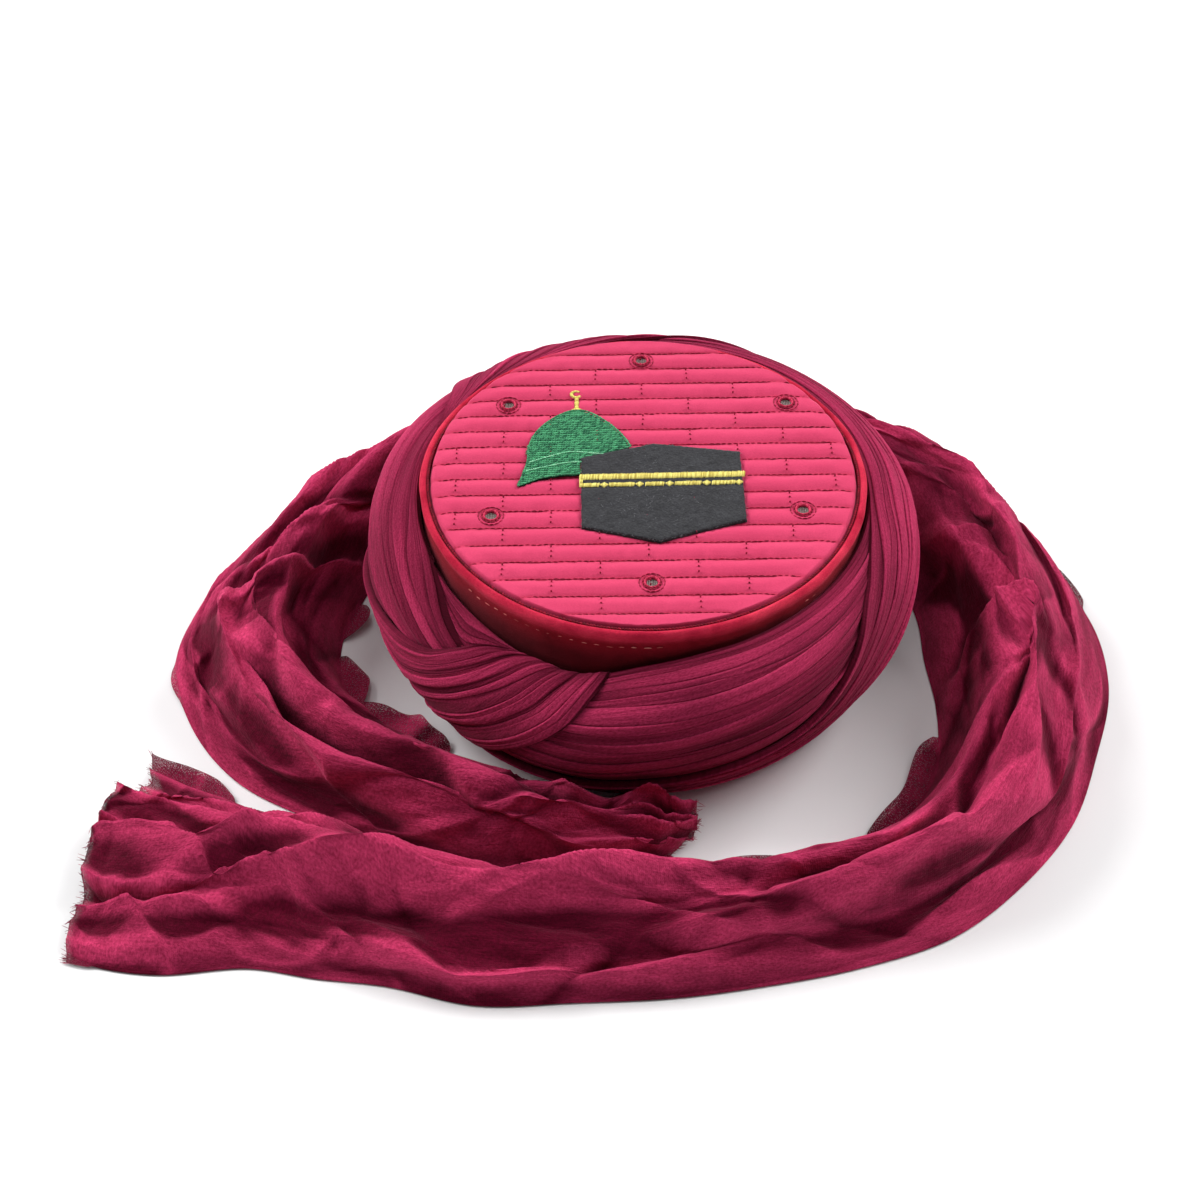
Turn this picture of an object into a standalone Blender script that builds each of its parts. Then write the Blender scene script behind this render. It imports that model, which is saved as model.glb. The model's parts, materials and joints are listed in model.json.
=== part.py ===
"""Turban cap: a stiff quilted cap, a pleated muslin winding round it and two loose tails.

Metres, +Z up. The cap stands on its open lower edge at Z = 0. The side that faces -Y is the front.
"""
import math
from collections import namedtuple

import bmesh
import bpy
from mathutils import Vector

# Cap
CAP_HEIGHT = 0.095
CROWN_RADIUS = 0.095
CROWN_THICKNESS = 0.004
CROWN_EDGE_ROUND = 0.0015
WALL_THICKNESS = 0.004
WALL_PROUD = 0.0015        # how far the wall's face stands outside the crown
RIM_WIDTH = 0.0021         # rolled velvet edge round the crown
RIM_DEPTH = 0.0055
RIM_BELOW_CROWN = 0.0005
ROUND_STEPS = 48

# Quilting of the crown
QUILT_ROWS = 18
QUILT_PITCH = 0.0097
QUILT_CREEP = 0.0033       # the middle rows sit this far nearer to the front
QUILT_DEPTH = 0.0007
QUILT_TILT = math.radians(1.3)

# Vent eyelets: place on the crown as shares of its radius
Eyelet = namedtuple("Eyelet", "right back")
EYELETS = (
    Eyelet(0.00, 0.82),
    Eyelet(-0.63, 0.49),
    Eyelet(0.68, 0.51),
    Eyelet(-0.69, -0.28),
    Eyelet(0.72, -0.24),
    Eyelet(0.03, -0.71),
)
EYELET_BORE = 0.0018
EYELET_WALL = 0.0007
EYELET_FLANGE = 0.0038
EYELET_FLANGE_THICKNESS = 0.0006
EYELET_STEPS = 10

# Patches on the crown
FELT = 0.0010
THREAD = 0.0005
CUBE_WIDTH = 0.0711
CUBE_LENGTH = 0.0627
CUBE_LEFT = -0.0271
CUBE_FRONT = -0.0433
BAND_WIDTH = 0.0034
BAND_BACK = -0.0004
BAND_RISE = 0.0023
BAR_WIDTH = 0.0024
BAR_BELOW_BAND = 0.0059
DIAMOND_WIDTH = 0.0030
DIAMOND_LENGTH = 0.0038
DOME_RADIUS = 0.0225
DOME_HEIGHT = 0.0250
DOME_CENTRE = (-0.0285, 0.0170)
DOME_STEPS = 14
POLE_WIDTH = 0.0018
POLE_FOOT = 0.0042
POLE_LENGTH = 0.0092
CRESCENT_RADIUS = 0.0026
CRESCENT_WIDTH = 0.0011
CRESCENT_OPENING = math.radians(95)

# Clearances
GAP = 0.0003
WINDING_CLEARANCE = 0.0009
OVER_INSET = 0.0003        # a pass stops this far from its seam where it lies on top
UNDER_INSET = 0.0011       # and this far where it dives under
TAIL_CLEARANCE = 0.0013

# Winding
WINDING_BULGE = 0.0262
WINDING_LIP = 0.0022
PLEAT_DEPTH = 0.0014
EDGE_ROLL = 0.0014         # how far a pass that lies on top stands above one that dives under
EDGE_ROLL_REACH = 0.009
ROLL_FADE = 0.006          # relief is weaker where the winding is thinner than this

# Section of the winding from the velvet down to the base, in even steps
Girth = namedtuple("Girth", "height_share bulge_share")
WINDING_SECTION = (
    Girth(1.000, 0.06),
    Girth(0.995, 0.24),
    Girth(0.950, 0.58),
    Girth(0.830, 0.88),
    Girth(0.660, 1.00),
    Girth(0.490, 0.97),
    Girth(0.320, 0.79),
    Girth(0.160, 0.50),
    Girth(0.040, 0.24),
    Girth(0.000, 0.06),
)

# Upper edge of the winding round the cap, as a share of the cap's height
Brow = namedtuple("Brow", "angle height_share")
WINDING_TOP = (
    Brow(-180, 0.920),
    Brow(-150, 0.925),
    Brow(-100, 0.920),
    Brow(-70, 0.874),
    Brow(-45, 0.800),
    Brow(-30, 0.753),
    Brow(-15, 0.737),
    Brow(0, 0.821),
    Brow(15, 0.874),
    Brow(45, 0.905),
    Brow(90, 0.925),
    Brow(150, 0.925),
    Brow(180, 0.920),
)

# Lines where one pass of the winding goes over another. The angle is in degrees round the axis,
# 0 at the front and 90 at the right. The drop is 0 at the velvet and 1 at the base.
Place = namedtuple("Place", "angle drop")
SEAMS = {
    "front_fold": (
        Place(-15, 0.00), Place(-13.2, 0.11), Place(-13.7, 0.21), Place(-16, 0.31),
        Place(-20, 0.41), Place(-26, 0.52), Place(-36, 0.66), Place(-47, 0.82), Place(-60, 1.00),
    ),
    "left_fold": (
        Place(-24, 0.00), Place(-32, 0.06), Place(-39, 0.14), Place(-44, 0.24), Place(-50, 0.33),
        Place(-57, 0.38), Place(-66, 0.42), Place(-82, 0.49), Place(-100, 0.57), Place(-120, 0.62),
        Place(-140, 0.63), Place(-157, 0.60),
    ),
    "left_inner": (
        Place(-70, 0.00), Place(-60, 0.10), Place(-52, 0.18), Place(-44, 0.24),
    ),
    "right_fold": (
        Place(85, 0.00), Place(71, 0.10), Place(63, 0.17), Place(55, 0.25), Place(50, 0.32),
        Place(44, 0.41), Place(34, 0.53), Place(22, 0.60), Place(6, 0.65), Place(-14, 0.68),
        Place(-36, 0.66),
    ),
    "back_left": (
        Place(-110, 0.00), Place(-125, 0.15), Place(-140, 0.36), Place(-157, 0.60),
        Place(-172, 0.77), Place(-188, 0.90), Place(-202, 1.00),
    ),
    "back_right": (
        Place(-158, 0.00), Place(-175, 0.10), Place(-195, 0.22), Place(-215, 0.40),
        Place(-232, 0.60), Place(-248, 0.80), Place(-262, 1.00),
    ),
}

# A stretch of a seam, from one of its places to another, and the share of the pass's side where
# it ends. The velvet and base lines run between two angles instead.
Stretch = namedtuple("Stretch", "seam first last until")

# A pass lies between its upper and lower sides and runs from its start to its end, which is
# straight where none is given. Roll says which of those four sides lies on top of its
# neighbour (1) or under it (-1). Evening is how often its inner points are averaged.
Pass = namedtuple("Pass", "name facing pleats steps evening upper lower start end roll")
PASSES = (
    Pass(
        "wrap_left", -100, 6, 15, 4,
        (Stretch("velvet", -110, -70, 0.55), Stretch("left_inner", 0, 3, 1)),
        (Stretch("left_fold", 11, 6, 1),),
        (Stretch("back_left", 0, 3, 1),),
        (Stretch("left_fold", 3, 6, 1),),
        (0, -1, -1, -1),
    ),
    Pass(
        "wrap_inner_left", -50, 2, 10, 0,
        (Stretch("velvet", -66, -28, 1),),
        (Stretch("left_inner", 0.35, 3, 0.55), Stretch("left_fold", 3, 0.45, 1)),
        None,
        None,
        (0, -1, 0, 0),
    ),
    Pass(
        "wrap_front_left", -100, 7, 26, 0,
        (Stretch("left_fold", 11, 0, 0.94), Stretch("velvet", -24, -15, 1)),
        (Stretch("base", -202, -60, 0.76), Stretch("front_fold", 8, 4, 1)),
        (Stretch("back_left", 3, 6, 1),),
        (Stretch("front_fold", 0, 4, 1),),
        (1, 1, -1, 1),
    ),
    Pass(
        "wrap_front_right", 25, 7, 16, 0,
        (Stretch("velvet", -15, 85, 1),),
        (Stretch("right_fold", 10, 6, 1),),
        (Stretch("front_fold", 0, 6, 1),),
        (Stretch("right_fold", 0, 6, 1),),
        (0, -1, -1, -1),
    ),
    Pass(
        "wrap_right", 80, 8, 28, 0,
        (Stretch("velvet", 202, 85, 0.45), Stretch("right_fold", 0, 10, 1)),
        (
            Stretch("base", 98, 88, 0.45), Stretch("base", 88, 42, 0.75),
            Stretch("base", 42, -60, 1),
        ),
        (Stretch("back_right", 0, 6, 1),),
        (Stretch("front_fold", 6, 8, 1),),
        (1, 0, -1, -1),
    ),
    Pass(
        "wrap_back", -186, 6, 22, 0,
        (Stretch("back_right", 0, 6, 1),),
        (Stretch("back_left", 0, 6, 1),),
        (Stretch("velvet", -158, -110, 1),),
        (Stretch("base", -262, -202, 1),),
        (1, 1, 0, 0),
    ),
)

# Tails, from the back of the winding to the free end. Angles are in degrees, the reaches are
# shares of TAIL_REACH from the axis, and the height is a share of TAIL_HEIGHT.
TAIL_REACH = 0.30
TAIL_HEIGHT = 0.046
TAIL_CLOTH = 0.0024
TAIL_RIDGE = 0.0055
TAIL_RIDGES = 3.5
TAIL_WIDTH = 0.055         # where the cloth is gathered narrower than this, its folds are lower
TAIL_CREST = 0.56
TAIL_ACROSS = 10
TAIL_STEPS_PER_ROW = 2
Lay = namedtuple("Lay", "outer_angle outer_reach inner_angle inner_reach height")
TAIL_LEFT = (
    Lay(-164, 0.440, -175, 0.340, 0.16),
    Lay(-151, 0.500, -160, 0.372, 0.50),
    Lay(-137, 0.520, -141, 0.390, 0.85),
    Lay(-122, 0.553, -125, 0.403, 0.85),
    Lay(-108, 0.607, -110, 0.420, 0.83),
    Lay(-95, 0.673, -96, 0.440, 0.78),
    Lay(-84, 0.707, -84, 0.463, 0.74),
    Lay(-73, 0.697, -73, 0.467, 0.70),
    Lay(-62, 0.667, -62, 0.440, 0.65),
    Lay(-52, 0.617, -51, 0.413, 0.63),
    Lay(-42, 0.577, -40, 0.390, 0.61),
    Lay(-31, 0.550, -28, 0.373, 0.61),
    Lay(-20, 0.522, -17, 0.363, 0.57),
    Lay(-10, 0.503, -6, 0.365, 0.42),
    Lay(0, 0.483, 3, 0.360, 0.39),
    Lay(8, 0.467, 12, 0.367, 0.24),
)
TAIL_RIGHT = (
    Lay(163, 0.440, 174, 0.340, 0.16),
    Lay(149, 0.510, 158, 0.372, 0.54),
    Lay(134, 0.543, 138, 0.393, 0.96),
    Lay(118, 0.587, 120, 0.407, 1.00),
    Lay(104, 0.633, 104, 0.420, 1.00),
    Lay(92, 0.687, 92, 0.430, 1.00),
    Lay(80, 0.710, 80, 0.440, 0.98),
    Lay(68, 0.713, 69, 0.473, 0.91),
    Lay(57, 0.727, 58, 0.510, 0.83),
    Lay(46, 0.730, 46, 0.540, 0.74),
    Lay(35, 0.730, 34, 0.533, 0.67),
    Lay(24, 0.710, 22, 0.517, 0.65),
    Lay(13, 0.697, 11, 0.513, 0.65),
    Lay(2, 0.700, 0, 0.520, 0.65),
    Lay(-8, 0.713, -11, 0.530, 0.63),
    Lay(-18, 0.747, -22, 0.553, 0.61),
    Lay(-27, 0.763, -32, 0.583, 0.59),
    Lay(-34, 0.803, -41, 0.607, 0.57),
    Lay(-40, 0.847, -49, 0.633, 0.52),
    Lay(-45, 0.933, -57, 0.680, 0.48),
    Lay(-49, 0.987, -63, 0.733, 0.39),
    Lay(-51.4, 1.010, -67.4, 0.773, 0.30),
)

# Sizes that follow from the ones above
WALL_RADIUS = CROWN_RADIUS + WALL_PROUD
LEDGE_HEIGHT = CAP_HEIGHT - CROWN_THICKNESS - GAP
WINDING_RADIUS = WALL_RADIUS + WINDING_CLEARANCE


def clear_scene():
    for thing in list(bpy.data.objects):
        bpy.data.objects.remove(thing, do_unlink=True)


def finish_of(name, colour, roughness, sheen=0.0):
    """A Principled material; the colour is linear."""
    finish = bpy.data.materials.new(name)
    finish.use_nodes = True
    shader = finish.node_tree.nodes["Principled BSDF"]
    shader.inputs["Base Color"].default_value = (*colour, 1.0)
    shader.inputs["Roughness"].default_value = roughness
    shader.inputs["Metallic"].default_value = 0.0
    shader.inputs["Sheen Weight"].default_value = sheen
    return finish


def add_object(name, mesh_data, finish, location=(0, 0, 0)):
    if not mesh_data.materials:
        mesh_data.materials.append(finish)
    thing = bpy.data.objects.new(name, mesh_data)
    thing.location = location
    bpy.context.collection.objects.link(thing)
    return thing


def mesh_from(name, shape, smooth_angle=math.radians(40)):
    """Turn a bmesh into mesh data with its faces pointing out."""
    bmesh.ops.recalc_face_normals(shape, faces=shape.faces[:])
    data = bpy.data.meshes.new(name)
    shape.to_mesh(data)
    shape.free()
    data.shade_smooth()
    data.set_sharp_from_angle(angle=smooth_angle)
    return data


def mesh_from_faces(name, points, faces):
    data = bpy.data.meshes.new(name)
    data.from_pydata(points, [], faces)
    shape = bmesh.new()
    shape.from_mesh(data)
    bpy.data.meshes.remove(data)
    return mesh_from(name, shape)


def turned(name, profile, steps):
    """Spin a closed profile of (radius, height) pairs round the Z axis."""
    shape = bmesh.new()
    points = [shape.verts.new((radius, 0, height)) for radius, height in profile]
    edges = [shape.edges.new((a, b)) for a, b in zip(points, points[1:] + points[:1])]
    bmesh.ops.spin(
        shape, geom=points + edges, axis=(0, 0, 1), cent=(0, 0, 0),
        angle=2 * math.pi, steps=steps, use_merge=True,
    )
    return mesh_from(name, shape)


def plate(name, outline, bottom, thickness):
    """A flat piece of one thickness with the given outline."""
    shape = bmesh.new()
    face = shape.faces.new([shape.verts.new((x, y, bottom)) for x, y in outline])
    grown = bmesh.ops.extrude_face_region(shape, geom=[face])
    tops = [item for item in grown["geom"] if isinstance(item, bmesh.types.BMVert)]
    bmesh.ops.translate(shape, verts=tops, vec=(0, 0, thickness))
    return mesh_from(name, shape)


def spline(rows, position):
    """A smooth value between rows of numbers; position counts the rows from 0."""
    index = min(max(int(math.floor(position)), 0), len(rows) - 2)
    f = position - index
    last = len(rows) - 1
    before, here, there, after = (
        rows[min(max(index + step, 0), last)] for step in (-1, 0, 1, 2)
    )
    return tuple(
        0.5 * (2 * b + (c - a) * f + (2 * a - 5 * b + 4 * c - d) * f ** 2
               + (3 * b - a - 3 * c + d) * f ** 3)
        for a, b, c, d in zip(before, here, there, after)
    )


def polar(angle, radius, height):
    turn = math.radians(angle)
    return Vector((radius * math.sin(turn), -radius * math.cos(turn), height))


# Cap

def make_side_band(finish):
    inner = WALL_RADIUS - WALL_THICKNESS
    seat = CROWN_RADIUS + GAP
    rim_top = CAP_HEIGHT - RIM_BELOW_CROWN
    profile = (
        (inner, 0),
        (WALL_RADIUS, 0),
        (WALL_RADIUS, rim_top - RIM_DEPTH),
        (seat + RIM_WIDTH, rim_top - 0.65 * RIM_DEPTH),
        (seat + RIM_WIDTH, rim_top - 0.30 * RIM_DEPTH),
        (seat + 0.75 * RIM_WIDTH, rim_top - 0.06 * RIM_DEPTH),
        (seat + 0.35 * RIM_WIDTH, rim_top),
        (seat, rim_top - 0.15 * RIM_DEPTH),
        (seat, LEDGE_HEIGHT),
        (inner, LEDGE_HEIGHT),
    )
    return add_object("side_band", turned("side_band", profile, ROUND_STEPS), finish)


def quilt_line(row):
    """How far behind the middle of the crown a stitched row lies."""
    last = QUILT_ROWS - 1
    creep = QUILT_CREEP * math.sin(math.pi * row / last)
    return (row - last / 2) * QUILT_PITCH - creep + 0.17 * QUILT_PITCH


def make_crown_panel(finish):
    shape = bmesh.new()
    bmesh.ops.create_circle(
        shape, cap_ends=True, radius=CROWN_RADIUS - CROWN_EDGE_ROUND, segments=ROUND_STEPS,
    )
    across = Vector((-math.sin(QUILT_TILT), math.cos(QUILT_TILT), 0))
    lines = [quilt_line(row) for row in range(QUILT_ROWS)]
    crests = [(a + b) / 2 for a, b in zip(lines, lines[1:])]
    for place in lines + crests:
        everything = shape.verts[:] + shape.edges[:] + shape.faces[:]
        bmesh.ops.bisect_plane(
            shape, geom=everything, dist=1e-6, plane_co=across * place, plane_no=across,
        )
    for vert in shape.verts:
        nearest = min(abs(vert.co.dot(across) - line) for line in lines)
        drop = QUILT_DEPTH * max(0.0, 1 - 2 * nearest / QUILT_PITCH)
        vert.co.z = CAP_HEIGHT - drop
    top_round = CAP_HEIGHT - CROWN_EDGE_ROUND
    bottom = CAP_HEIGHT - CROWN_THICKNESS
    for radius, height in ((CROWN_RADIUS, top_round), (CROWN_RADIUS, bottom)):
        rim = [edge for edge in shape.edges if edge.is_boundary]
        grown = bmesh.ops.extrude_edge_only(shape, edges=rim)["geom"]
        for vert in (item for item in grown if isinstance(item, bmesh.types.BMVert)):
            flat = Vector((vert.co.x, vert.co.y, 0)).normalized() * radius
            vert.co = (flat.x, flat.y, height)
    bmesh.ops.holes_fill(shape, edges=[edge for edge in shape.edges if edge.is_boundary], sides=0)
    panel = add_object("crown_panel", mesh_from("crown_panel", shape), finish)
    for number, place in enumerate(EYELETS, 1):
        cutter_shape = bmesh.new()
        bmesh.ops.create_cone(
            cutter_shape, cap_ends=True, segments=EYELET_STEPS, depth=4 * CROWN_THICKNESS,
            radius1=EYELET_BORE + EYELET_WALL + GAP, radius2=EYELET_BORE + EYELET_WALL + GAP,
        )
        cutter = add_object(
            f"vent_cutter_{number}", mesh_from("vent_cutter", cutter_shape), finish,
            (place.right * CROWN_RADIUS, place.back * CROWN_RADIUS, CAP_HEIGHT),
        )
        cutter.hide_render = True
        cutter.display_type = "WIRE"
        cutter.parent = panel
        cut = panel.modifiers.new(f"vent_{number}", "BOOLEAN")
        cut.operation = "DIFFERENCE"
        cut.object = cutter
    return panel


def make_eyelets(finish):
    tube = EYELET_BORE + EYELET_WALL
    flange_under = CAP_HEIGHT + GAP
    flange_top = flange_under + EYELET_FLANGE_THICKNESS
    profile = (
        (EYELET_BORE, CAP_HEIGHT - CROWN_THICKNESS),
        (tube, CAP_HEIGHT - CROWN_THICKNESS),
        (tube, flange_under),
        (EYELET_FLANGE, flange_under),
        (0.5 * (tube + EYELET_FLANGE), flange_top),
        (EYELET_BORE, flange_under),
    )
    data = turned("eyelet", profile, EYELET_STEPS)
    return [
        add_object(
            f"eyelet_{number}", data, finish,
            (place.right * CROWN_RADIUS, place.back * CROWN_RADIUS, 0),
        )
        for number, place in enumerate(EYELETS, 1)
    ]


# Patches on the crown

def cube_corner(right_share, back_share):
    return CUBE_LEFT + right_share * CUBE_WIDTH, CUBE_FRONT + back_share * CUBE_LENGTH


CUBE_OUTLINE = (
    cube_corner(0.006, 0.137),
    cube_corner(0.471, 0.000),
    cube_corner(1.000, 0.214),
    cube_corner(0.982, 0.914),
    cube_corner(0.449, 1.000),
    cube_corner(0.000, 0.848),
)
PATCH_BOTTOM = CAP_HEIGHT + GAP
THREAD_BOTTOM = PATCH_BOTTOM + FELT + GAP

# Second row of gold thread, as shares of the cube patch's width
Bar = namedtuple("Bar", "start end")
BARS = (Bar(0.0, 0.11), Bar(0.172, 0.321), Bar(0.393, 0.506), Bar(0.573, 0.735), Bar(0.799, 0.935))
DIAMONDS = (0.141, 0.357, 0.5395, 0.767, 0.963)


def make_cube_patch(finish):
    return add_object("cube_patch", plate("cube_patch", CUBE_OUTLINE, PATCH_BOTTOM, FELT), finish)


def strip_outline(start, end, back, width):
    """A strip across the cube patch that rises a little to the right."""
    left, right = (CUBE_LEFT + share * CUBE_WIDTH for share in (start, end))
    left_back, right_back = (back + share * BAND_RISE for share in (start, end))
    return (
        (left, left_back - width), (right, right_back - width), (right, right_back), (left, left_back),
    )


def make_gold_thread(finish):
    things = []
    outline = strip_outline(0.004, 0.984, BAND_BACK, BAND_WIDTH)
    things.append(
        add_object("gold_band", plate("gold_band", outline, THREAD_BOTTOM, THREAD), finish)
    )
    row_back = BAND_BACK - BAR_BELOW_BAND
    for number, bar in enumerate(BARS, 1):
        outline = strip_outline(bar.start + 0.004, bar.end, row_back, BAR_WIDTH)
        name = f"gold_bar_{number}"
        things.append(add_object(name, plate(name, outline, THREAD_BOTTOM, THREAD), finish))
    for number, share in enumerate(DIAMONDS, 1):
        x = CUBE_LEFT + share * CUBE_WIDTH
        y = row_back - BAR_WIDTH / 2 + share * BAND_RISE
        half_width, half_length = DIAMOND_WIDTH / 2, DIAMOND_LENGTH / 2
        outline = (
            (x - half_width, y), (x, y - half_length), (x + half_width, y), (x, y + half_length),
        )
        name = f"gold_diamond_{number}"
        things.append(add_object(name, plate(name, outline, THREAD_BOTTOM, THREAD), finish))
    return things


def make_dome_patch(finish):
    """A domed outline whose lower right side follows the cube patch."""
    centre_x, centre_y = DOME_CENTRE
    corner_x, corner_y = CUBE_OUTLINE[5]
    peak_x, peak_y = CUBE_OUTLINE[4]
    slope = (peak_y - corner_y) / (peak_x - corner_x)
    outline = []
    for step in range(DOME_STEPS + 1):
        share = math.cos(math.pi * step / DOME_STEPS)
        x = centre_x + DOME_RADIUS * share
        y = centre_y + DOME_HEIGHT * max(0.0, 1 - share * share) ** 0.75
        edge_y = corner_y + slope * (x - corner_x) + 2 * GAP
        outline.append((x, max(y, edge_y)))
    foot_back = centre_y - 0.66 * DOME_HEIGHT
    outline += [
        (centre_x - 1.02 * DOME_RADIUS, centre_y - 0.64 * DOME_HEIGHT),
        (centre_x - 1.17 * DOME_RADIUS, centre_y - 1.02 * DOME_HEIGHT),
        (centre_x - 0.95 * DOME_RADIUS, centre_y - 0.91 * DOME_HEIGHT),
        (centre_x - 0.55 * DOME_RADIUS, centre_y - 0.78 * DOME_HEIGHT),
        (corner_x - 2 * GAP, foot_back),
        (corner_x - 2 * GAP, corner_y + GAP),
    ]
    return add_object("dome_patch", plate("dome_patch", outline, PATCH_BOTTOM, FELT), finish)


def make_finial(finish):
    """A slim pole on the dome with an open crescent on top."""
    x = DOME_CENTRE[0]
    foot = DOME_CENTRE[1] + DOME_HEIGHT + 2 * GAP
    top = foot + POLE_LENGTH
    centre = top + 0.8 * CRESCENT_RADIUS
    half = POLE_WIDTH / 2
    join = math.asin(half / CRESCENT_RADIUS)
    outline = [(x + POLE_FOOT / 2, foot), (x + half, foot + POLE_FOOT / 2)]
    start = -math.pi / 2 + join
    open_low = -CRESCENT_OPENING / 2
    open_high = CRESCENT_OPENING / 2
    inner = CRESCENT_RADIUS - CRESCENT_WIDTH
    for share in (0, 0.5, 1):
        turn = start + (open_low - start) * share
        outline.append(
            (x + CRESCENT_RADIUS * math.cos(turn), centre + CRESCENT_RADIUS * math.sin(turn))
        )
    for share in (0.05, 0.2, 0.4, 0.6, 0.8, 0.95):
        turn = open_low - (2 * math.pi - CRESCENT_OPENING) * share
        outline.append((x + inner * math.cos(turn), centre + inner * math.sin(turn)))
    end = 3 * math.pi / 2 - join
    for share in (0, 0.25, 0.5, 0.75, 1):
        turn = open_high + (end - open_high) * share
        outline.append(
            (x + CRESCENT_RADIUS * math.cos(turn), centre + CRESCENT_RADIUS * math.sin(turn))
        )
    outline += [(x - half, foot + POLE_FOOT / 2), (x - POLE_FOOT / 2, foot)]
    return add_object("finial", plate("finial", outline, PATCH_BOTTOM, FELT), finish)


# Winding

def winding_top(angle):
    """Height of the winding's upper edge at an angle."""
    angle = (angle + 180) % 360 - 180
    for index, (here, there) in enumerate(zip(WINDING_TOP, WINDING_TOP[1:])):
        if angle <= there.angle:
            position = index + (angle - here.angle) / (there.angle - here.angle)
            return spline(WINDING_TOP, position)[1] * CAP_HEIGHT
    return WINDING_TOP[-1].height_share * CAP_HEIGHT


def winding_outside(angle, drop):
    height_share, bulge_share = spline(WINDING_SECTION, drop * (len(WINDING_SECTION) - 1))
    height = winding_top(angle) * min(max(height_share, 0), 1)
    return polar(angle, WINDING_RADIUS + WINDING_BULGE * max(bulge_share, 0.05), height)


def winding_inside(angle, drop):
    return polar(angle, WINDING_RADIUS, (winding_top(angle) - WINDING_LIP) * (1 - drop))


def winding_reach(angle, height):
    """Radius of the winding's face at a height in its lower part."""
    steps = 24
    for step in range(steps + 1):
        place = winding_outside(angle, 1 - 0.6 * step / steps)
        if place.z >= height:
            break
    return math.hypot(place.x, place.y)


def side_place(side, share, facing):
    """The angle and drop of a point on one side of a pass."""
    begin = 0
    for stretch in side:
        if share <= stretch.until or stretch is side[-1]:
            f = (share - begin) / (stretch.until - begin)
            position = stretch.first + (stretch.last - stretch.first) * f
            break
        begin = stretch.until
    if stretch.seam == "velvet":
        return position, 0.0
    if stretch.seam == "base":
        return position, 1.0
    angle, drop = spline(SEAMS[stretch.seam], position)
    angle = facing + (angle - facing + 180) % 360 - 180
    return angle, min(max(drop, 0.0), 1.0)


def blend(first, second, share):
    return tuple(a + (b - a) * share for a, b in zip(first, second))


def pass_sides(one, along, across):
    """The places on the upper, lower, start and end sides of a pass."""
    upper = side_place(one.upper, along, one.facing)
    lower = side_place(one.lower, along, one.facing)
    ends = []
    for side, share in ((one.start, 0), (one.end, 1)):
        if side:
            ends.append(side_place(side, across, one.facing))
        else:
            corners = (side_place(edge, share, one.facing) for edge in (one.upper, one.lower))
            ends.append(blend(*corners, across))
    return upper, lower, *ends


def pass_place(one, along, across):
    """Blend the four sides of a pass into a place inside it."""
    upper, lower, start, end = pass_sides(one, along, across)
    corners = [
        side_place(side, share, one.facing)
        for side in (one.upper, one.lower) for share in (0, 1)
    ]
    weights = (
        (1 - along) * (1 - across), along * (1 - across), (1 - along) * across, along * across,
    )
    return tuple(
        (1 - across) * upper[axis] + across * lower[axis]
        + (1 - along) * start[axis] + along * end[axis]
        - sum(weight * corner[axis] for weight, corner in zip(weights, corners))
        for axis in (0, 1)
    )


def inward_step(one, along, across, lengthwise):
    """A unit step over the surface, square to a side of the pass and into it."""
    scale = Vector((math.radians(WINDING_RADIUS), CAP_HEIGHT))
    nearby = 0.01 if (along if lengthwise else across) < 0.5 else -0.01
    here = Vector(pass_place(one, along, across)) * scale
    if lengthwise:
        beside = Vector(pass_place(one, along + nearby, across)) * scale
        opposite = Vector(pass_place(one, along, 1 - across)) * scale
    else:
        beside = Vector(pass_place(one, along, across + nearby)) * scale
        opposite = Vector(pass_place(one, 1 - along, across)) * scale
    line = (beside - here).normalized()
    inward = opposite - here
    inward = (inward - line * inward.dot(line)).normalized()
    return inward


def inset_place(one, along, across):
    """A place in the pass, inside the seam gap where it is on a side."""
    place = Vector(pass_place(one, along, across))
    steps = []
    insets = []
    if across in (0, 1):
        steps.append(inward_step(one, along, across, True))
        insets.append(UNDER_INSET if one.roll[int(across)] < 0 else OVER_INSET)
    if along in (0, 1):
        steps.append(inward_step(one, along, across, False))
        insets.append(UNDER_INSET if one.roll[2 + int(along)] < 0 else OVER_INSET)
    if not steps:
        return place
    move = sum(steps, Vector((0, 0)))
    if len(steps) == 2:
        move /= max(1 + steps[0].dot(steps[1]), 0.3)
    move *= max(insets)
    angle = place.x + move.x / math.radians(WINDING_RADIUS)
    return Vector((angle, min(max(place.y + move.y / CAP_HEIGHT, 0), 1)))


def place_grid(one):
    """Places over a pass, in rows from its start to its end, evened out inside its sides."""
    last, last_across = one.steps, 2 * one.pleats
    grid = [
        [inset_place(one, i / last, j / last_across) for j in range(last_across + 1)]
        for i in range(last + 1)
    ]
    for _ in range(one.evening):
        before = [row[:] for row in grid]
        for i in range(1, last):
            for j in range(1, last_across):
                around = (before[i - 1][j], before[i + 1][j], before[i][j - 1], before[i][j + 1])
                grid[i][j] = sum(around, Vector((0, 0))) / 4
    return grid


def path_length(one, fixed, lengthwise):
    """Length over the surface of a line through a pass."""
    shares = [step / 8 for step in range(9)]
    places = [(share, fixed) if lengthwise else (fixed, share) for share in shares]
    points = [winding_outside(*pass_place(one, *place)) for place in places]
    return sum((b - a).length for a, b in zip(points, points[1:]))


def pleated_point(one, place, side_distances, relief):
    """A point of the winding's face, with the relief of its pleats and rolled edges."""
    outside = winding_outside(*place)
    inside = winding_inside(*place)
    lift = sum(
        roll * EDGE_ROLL * math.exp(-distance / EDGE_ROLL_REACH)
        for roll, distance in zip(one.roll, side_distances)
    )
    fade = min(1.0, (outside.xy.length - WINDING_RADIUS) / ROLL_FADE)
    outward = (outside - inside).normalized()
    return outside + outward * (lift - relief * PLEAT_DEPTH) * fade


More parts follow.
